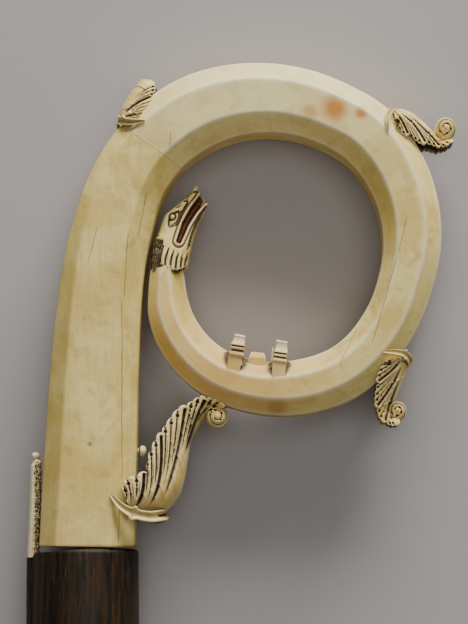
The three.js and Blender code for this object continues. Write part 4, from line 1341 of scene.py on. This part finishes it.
def new_paint(material, **shader):
    """Use nodes in a material, set its shader's plain numbers, and give its start wire and its
    positions.
    """
    material.use_nodes = True
    tree = material.node_tree
    surface = next(node for node in tree.nodes if node.type == "BSDF_PRINCIPLED")
    for name, value in shader.items():
        surface.inputs[name.replace("_", " ")].default_value = value
    start = Wire(tree)
    here = start.node("ShaderNodeTexCoord", out=3)
    plan = start.node("ShaderNodeVectorMath", {"operation": "MULTIPLY_ADD"}, {
        0: here, 1: (1 / MM, 1 / MM, 1 / MM), 2: tuple(float(-v) for v in SHIFT)})
    return surface, start, plan


def finish_paint(surface, colour, rough, height=None, strength=0.3, distance=0.2):
    tree = colour.tree
    tree.links.new(colour.socket, surface.inputs["Base Color"])
    tree.links.new(rough.socket, surface.inputs["Roughness"])
    if height:
        bump = colour.node("ShaderNodeBump", None, {
            "Strength": strength, "Distance": distance * MM, "Height": height})
        tree.links.new(bump.socket, surface.inputs["Normal"])
    return len(tree.nodes)


print("srgb(186, 172, 128) is", [round(v, 3) for v in srgb(186, 172, 128)])

# %% [markdown]
# Old ivory is cream where it is handled and brown where it has drunk in dirt. It has faint layers along
# its length, long drying cracks that run with them, and a few stains. The same recipe paints the
# straight length, whose layers run up Y, and the ring, whose layers run round its middle. Some of the
# colour is painted light: shade in hollows, at the foot of the shank and down its left side, and
# highlight on edges and over the top of the ring.
# %% Ivory


def seam(x, y, wobble, ends, width):
    """A crack between two places on the plan: 1 in the crack, thinning out at both ends."""
    (ax, ay), (bx, by) = ends
    slope = (bx - ax) / (by - ay)
    off = (x - (ax - slope * ay) - y * slope + wobble).size()
    low, high = min(ay, by), max(ay, by)
    inside = y.ease(low, low + 2.0) * y.ease(high, high - 2.0)
    return off.ease(width, width * 0.25) * inside


def blot(x, y, wobble, place, radius):
    """A soft round stain."""
    away = ((x - place[0]) ** 2.0 + (y - place[1]) ** 2.0) ** 0.5
    return (away + wobble).ease(radius, radius * 0.2)


def paint_ivory(name, round_ring, cracks, stains):
    material = bpy.data.materials.new(name)
    surface, start, plan = new_paint(
        material, Specular_IOR_Level=0.42, Subsurface_Weight=0.06, Subsurface_Scale=0.0015,
        Coat_Roughness=0.3)
    split = start.node("ShaderNodeSeparateXYZ", None, {0: plan})
    x, y, z = (Wire(split.tree, socket) for socket in split.socket.node.outputs)
    if round_ring:
        dx, dy = x - float(RING_CENTRE[0]), y - float(RING_CENTRE[1])
        across = (dx * dx + dy * dy) ** 0.5
        length = start.sum("ARCTAN2", dy, dx) * 40.0
    else:
        across, length = x, y
    grain = start.node("ShaderNodeCombineXYZ", None, {0: across, 1: length * 0.07, 2: z})
    layers = grain.noise(0.9, 4.0, 0.6)
    fine = grain.noise(4.5, 3.0, 0.6)
    cloud = plan.noise(0.055, 4.0, 0.55, 0.6)
    patch = plan.noise(0.16, 5.0, 0.6, 0.4)
    speck = plan.noise(1.3, 4.0, 0.65)
    wobble = (plan.noise(0.2, 4.0, 0.6) - 0.5) * 0.7
    colour = cloud.ease(0.35, 0.68).blend(srgb(232, 212, 132), srgb(214, 186, 100))
    colour = (patch.ease(0.48, 0.72) * 0.55).blend(colour, srgb(188, 148, 66))
    colour = (layers.ease(0.5, 0.72) * 0.4).blend(colour, srgb(194, 160, 80))
    colour = (fine.ease(0.52, 0.75) * 0.22).blend(colour, srgb(150, 126, 82))
    colour = (speck.ease(0.62, 0.78) * 0.3).blend(colour, srgb(138, 108, 66))
    if round_ring:
        colour = (y.ease(105, 70) * x.ease(105, 60) * 0.55).blend(colour, srgb(208, 160, 84))
        # Paler over the top of the ring: painted highlight where light falls from above.
        colour = (y.ease(125, 165) * 0.4).blend(colour, srgb(240, 228, 176))
    else:
        # Dark brown at the foot of the shank: painted shade in the gap above the staff.
        colour = (y.ease(1.6, 0.3) * 0.8).blend(colour, srgb(80, 50, 20))
        # Browner towards the left side: painted shade on the side away from the light.
        colour = (x.ease(4.0, -14.0) * 0.35).blend(colour, srgb(176, 146, 76))
    dirt_and_shade = start.value_of("recess")
    edge = start.value_of("edge")
    mouth = start.value_of("mouth")
    dark = None
    for *ends, width in cracks:
        mark = seam(x, y, wobble, ends, width)
        dark = mark if dark is None else dark.most(mark)
    for place, radius, tone, amount in stains:
        mark = blot(x, y, wobble * 1.6, place, radius) * amount
        colour = mark.blend(colour, srgb(*tone))
    # Convex edges paler: wear, and painted highlight on the edges.
    colour = (edge * 0.5).blend(colour, srgb(236, 228, 198))
    colour = mouth.blend(colour, speck.ease(0.4, 0.65).blend(srgb(84, 44, 16), srgb(126, 72, 30)))
    # Hollows darker: dirt, and painted shade in the hollows.
    colour = (dirt_and_shade.ease(0.05, 0.85) * 0.94).blend(colour, srgb(66, 42, 18))
    if dark:
        colour = (dark * 0.8).blend(colour, srgb(84, 56, 32))
    rough = 0.42 + layers * 0.12 + speck * 0.1
    height = layers * 0.5 + fine * 0.3 + speck * 0.3 - (dark * 2.0 if dark else 0.0)
    count = finish_paint(surface, colour, rough, height, 0.35, 0.12)
    print(name, count, "nodes")
    return material


shank_paint = paint_ivory(
    "ivory_lower", False,
    [((22.4, 126.9), (18.9, 109.0), 0.16), ((15.9, 112.8), (14.2, 88.0), 0.16),
     ((13.6, 88.5), (13.7, 23.8), 0.2), ((12.9, 15.0), (12.6, 0.9), 0.16),
     ((4.9, 114.6), (1.4, 100.3), 0.18)],
    [((26.9, 77.3), 9.0, (200, 160, 120), 0.45), ((2.5, 36.8), 1.2, (96, 70, 44), 0.7)])
ring_paint = paint_ivory(
    "ivory_ring", True,
    [((115.3, 118.7), (111.6, 103.7), 0.16), ((111.6, 103.9), (102.3, 71.6), 0.18),
     ((97.4, 78.8), (90.6, 64.6), 0.16), ((30.8, 148.7), (30.5, 141.5), 0.2)],
    [((89.4, 156.2), 7.0, (196, 124, 34), 0.95), ((99.0, 154.7), 3.4, (192, 118, 32), 0.9),
     ((80.5, 155.0), 4.0, (204, 144, 56), 0.7), ((68.6, 50.2), 5.0, (176, 122, 54), 0.55),
     ((75.1, 144.7), 0.9, (70, 50, 34), 0.8)])

# %% [markdown]
# The leaves are the same ivory, but carved: what matters is the dark in every groove against pale
# ridges. The wood is nearly black, with long brown streaks.
# %% Carved ivory, broken ivory and dark wood


def paint_carved(name, pale, deep, grime_and_shade_colour, amount):
    material = bpy.data.materials.new(name)
    surface, start, plan = new_paint(material, Specular_IOR_Level=0.42, Subsurface_Weight=0.05,
                                     Subsurface_Scale=0.001)
    cloud = plan.noise(0.12, 4.0, 0.6, 0.5)
    speck = plan.noise(1.6, 4.0, 0.65)
    dirt_and_shade = start.value_of("recess")
    edge = start.value_of("edge")
    colour = cloud.ease(0.35, 0.7).blend(pale, deep)
    colour = (speck.ease(0.55, 0.8) * 0.3).blend(colour, srgb(150, 120, 76))
    # Convex edges paler: wear, and painted highlight on the edges.
    colour = (edge * 0.6).blend(colour, srgb(238, 230, 200))
    # Hollows darker: dirt, and painted shade in the hollows.
    grime_and_shade_mask = (dirt_and_shade + (speck - 0.5) * 0.35).ease(0.08, 0.95)
    colour = (grime_and_shade_mask * amount).blend(colour, grime_and_shade_colour)
    rough = 0.45 + speck * 0.15 + dirt_and_shade * 0.2
    height = speck * 0.5 + plan.noise(4.0, 3.0, 0.6) * 0.25
    print(name, finish_paint(surface, colour, rough, height, 0.3, 0.1), "nodes")
    return material


carved_paint = paint_carved("ivory_carved", srgb(230, 206, 128), srgb(206, 172, 88),
                            srgb(48, 28, 8), 0.96)
broken_paint = paint_carved("ivory_broken", srgb(224, 204, 146), srgb(200, 172, 112),
                            srgb(58, 38, 18), 0.9)


def paint_wood():
    surface, start, plan = new_paint(wood_paint, Specular_IOR_Level=0.25)
    streak = plan.noise(0.75, 4.0, 0.6, 0.3, (1.0, 0.035, 1.0))
    fine = plan.noise(3.2, 3.0, 0.6, 0.2, (1.0, 0.05, 1.0))
    colour = streak.ease(0.38, 0.66).blend(srgb(16, 11, 4), srgb(52, 35, 14))
    colour = (fine.ease(0.56, 0.7) * 0.6).blend(colour, srgb(100, 62, 22))
    rough = 0.46 + fine * 0.2
    print("dark wood", finish_paint(surface, colour, rough, streak + fine * 0.6, 0.35, 0.2), "nodes")


paint_wood()

# %% [markdown]
# Each piece takes its material, rides on the object's one body, stands for its plain solid, and names
# the finish that it takes.
# %% Finishes and places
PARTS = [
    (shank, "shank", "ivory", shank_paint),
    (volute, "volute", "ivory", ring_paint),
    (upper_left, "crocket_upper_left", "carved_ivory", carved_paint),
    (upper_right, "crocket_upper_right", "carved_ivory", carved_paint),
    (lower_right, "crocket_lower_right", "carved_ivory", carved_paint),
    (bracket, "bracket_leaf", "carved_ivory", carved_paint),
    (strip, "side_strip", "broken_ivory", broken_paint),
    (bead, "peg_bead", "carved_ivory", carved_paint),
    (staff, "staff_stub", "dark_wood", wood_paint),
]
total = 0
for made, solid, finish_name, paint in PARTS:
    made.data.materials.clear()
    made.data.materials.append(paint)
    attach(made, "root")
    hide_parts(solid)
    faces = sum(len(face.vertices) - 2 for face in made.data.polygons)
    total += faces
    print(f"{made.name}: {faces} triangles")
print("triangles in all:", total)

# %% [markdown]
# The floor is a pale grey sheet. One large soft light stands beyond the top of the piece, a weaker one
# hangs overhead, and the sky fills the rest. The camera looks down, leaning a few degrees to the foot.
# %% Floor, light and camera
AIM = np.array([53.1, 84.6, 0.0])
REACH = 1054.8
LENS, SENSOR = 169.04, 36.0
LEAN_RIGHT, LEAN_TO_FOOT = math.radians(1.0), math.radians(4.85)
FLOOR_REACH = 3
SKY = 0.13


def make_floor():
    mesh = bpy.data.meshes.new("floor")
    mesh.from_pydata([
        (FLOOR_REACH * x, FLOOR_REACH * y, 0)
        for x, y in ((-1, -1), (1, -1), (1, 1), (-1, 1))], [], [(0, 1, 2, 3)])
    floor = bpy.data.objects.new("floor", mesh)
    bpy.context.collection.objects.link(floor)
    material = bpy.data.materials.new("floor_sheet")
    surface, start, plan = new_paint(material, Specular_IOR_Level=0.1)
    shade = plan.noise(0.01, 2.0, 0.5).blend(srgb(166, 161, 159), srgb(170, 165, 163))
    finish_paint(surface, shade, plan.noise(0.5) * 0.1 + 0.8)
    mesh.materials.append(material)
    return floor


def soft_light(name, place, size, power):
    lamp = bpy.data.lights.new(name, "AREA")
    lamp.shape, lamp.size, lamp.size_y = "RECTANGLE", *size
    lamp.energy = power
    light = bpy.data.objects.new(name, lamp)
    bpy.context.collection.objects.link(light)
    light.location = place
    light.rotation_euler = (-Vector(place)).to_track_quat("-Z", "Y").to_euler()
    return light


make_floor()
soft_light("key", (0.5, 2.3, 0.8), (1.8, 1.0), 126)
soft_light("overhead", (0.2, 0.1, 2.2), (1.6, 1.6), 16)
world = bpy.data.worlds.new("studio")
world.use_nodes = True
sky = world.node_tree.nodes["Background"].inputs
sky["Color"].default_value = (1, 1, 1, 1)
sky["Strength"].default_value = SKY
bpy.context.scene.world = world

back = np.array([math.tan(LEAN_RIGHT), -math.tan(LEAN_TO_FOOT), 1.0])
back /= np.linalg.norm(back)
right = np.cross([0, 1, 0], back)
right /= np.linalg.norm(right)
upward = np.cross(back, right)
lens = bpy.data.cameras.new("camera")
lens.lens, lens.sensor_width = LENS, SENSOR
camera = bpy.data.objects.new("camera", lens)
bpy.context.collection.objects.link(camera)
turned = np.array(TIPPED) @ np.stack([right, upward, back], 1)
spot = placed((AIM + back * REACH)[None])[0]
camera.matrix_world = Matrix.Translation(spot.tolist()) @ Matrix(turned.tolist()).to_4x4()
bpy.context.scene.camera = camera
print("camera at", [round(float(v), 4) for v in spot])
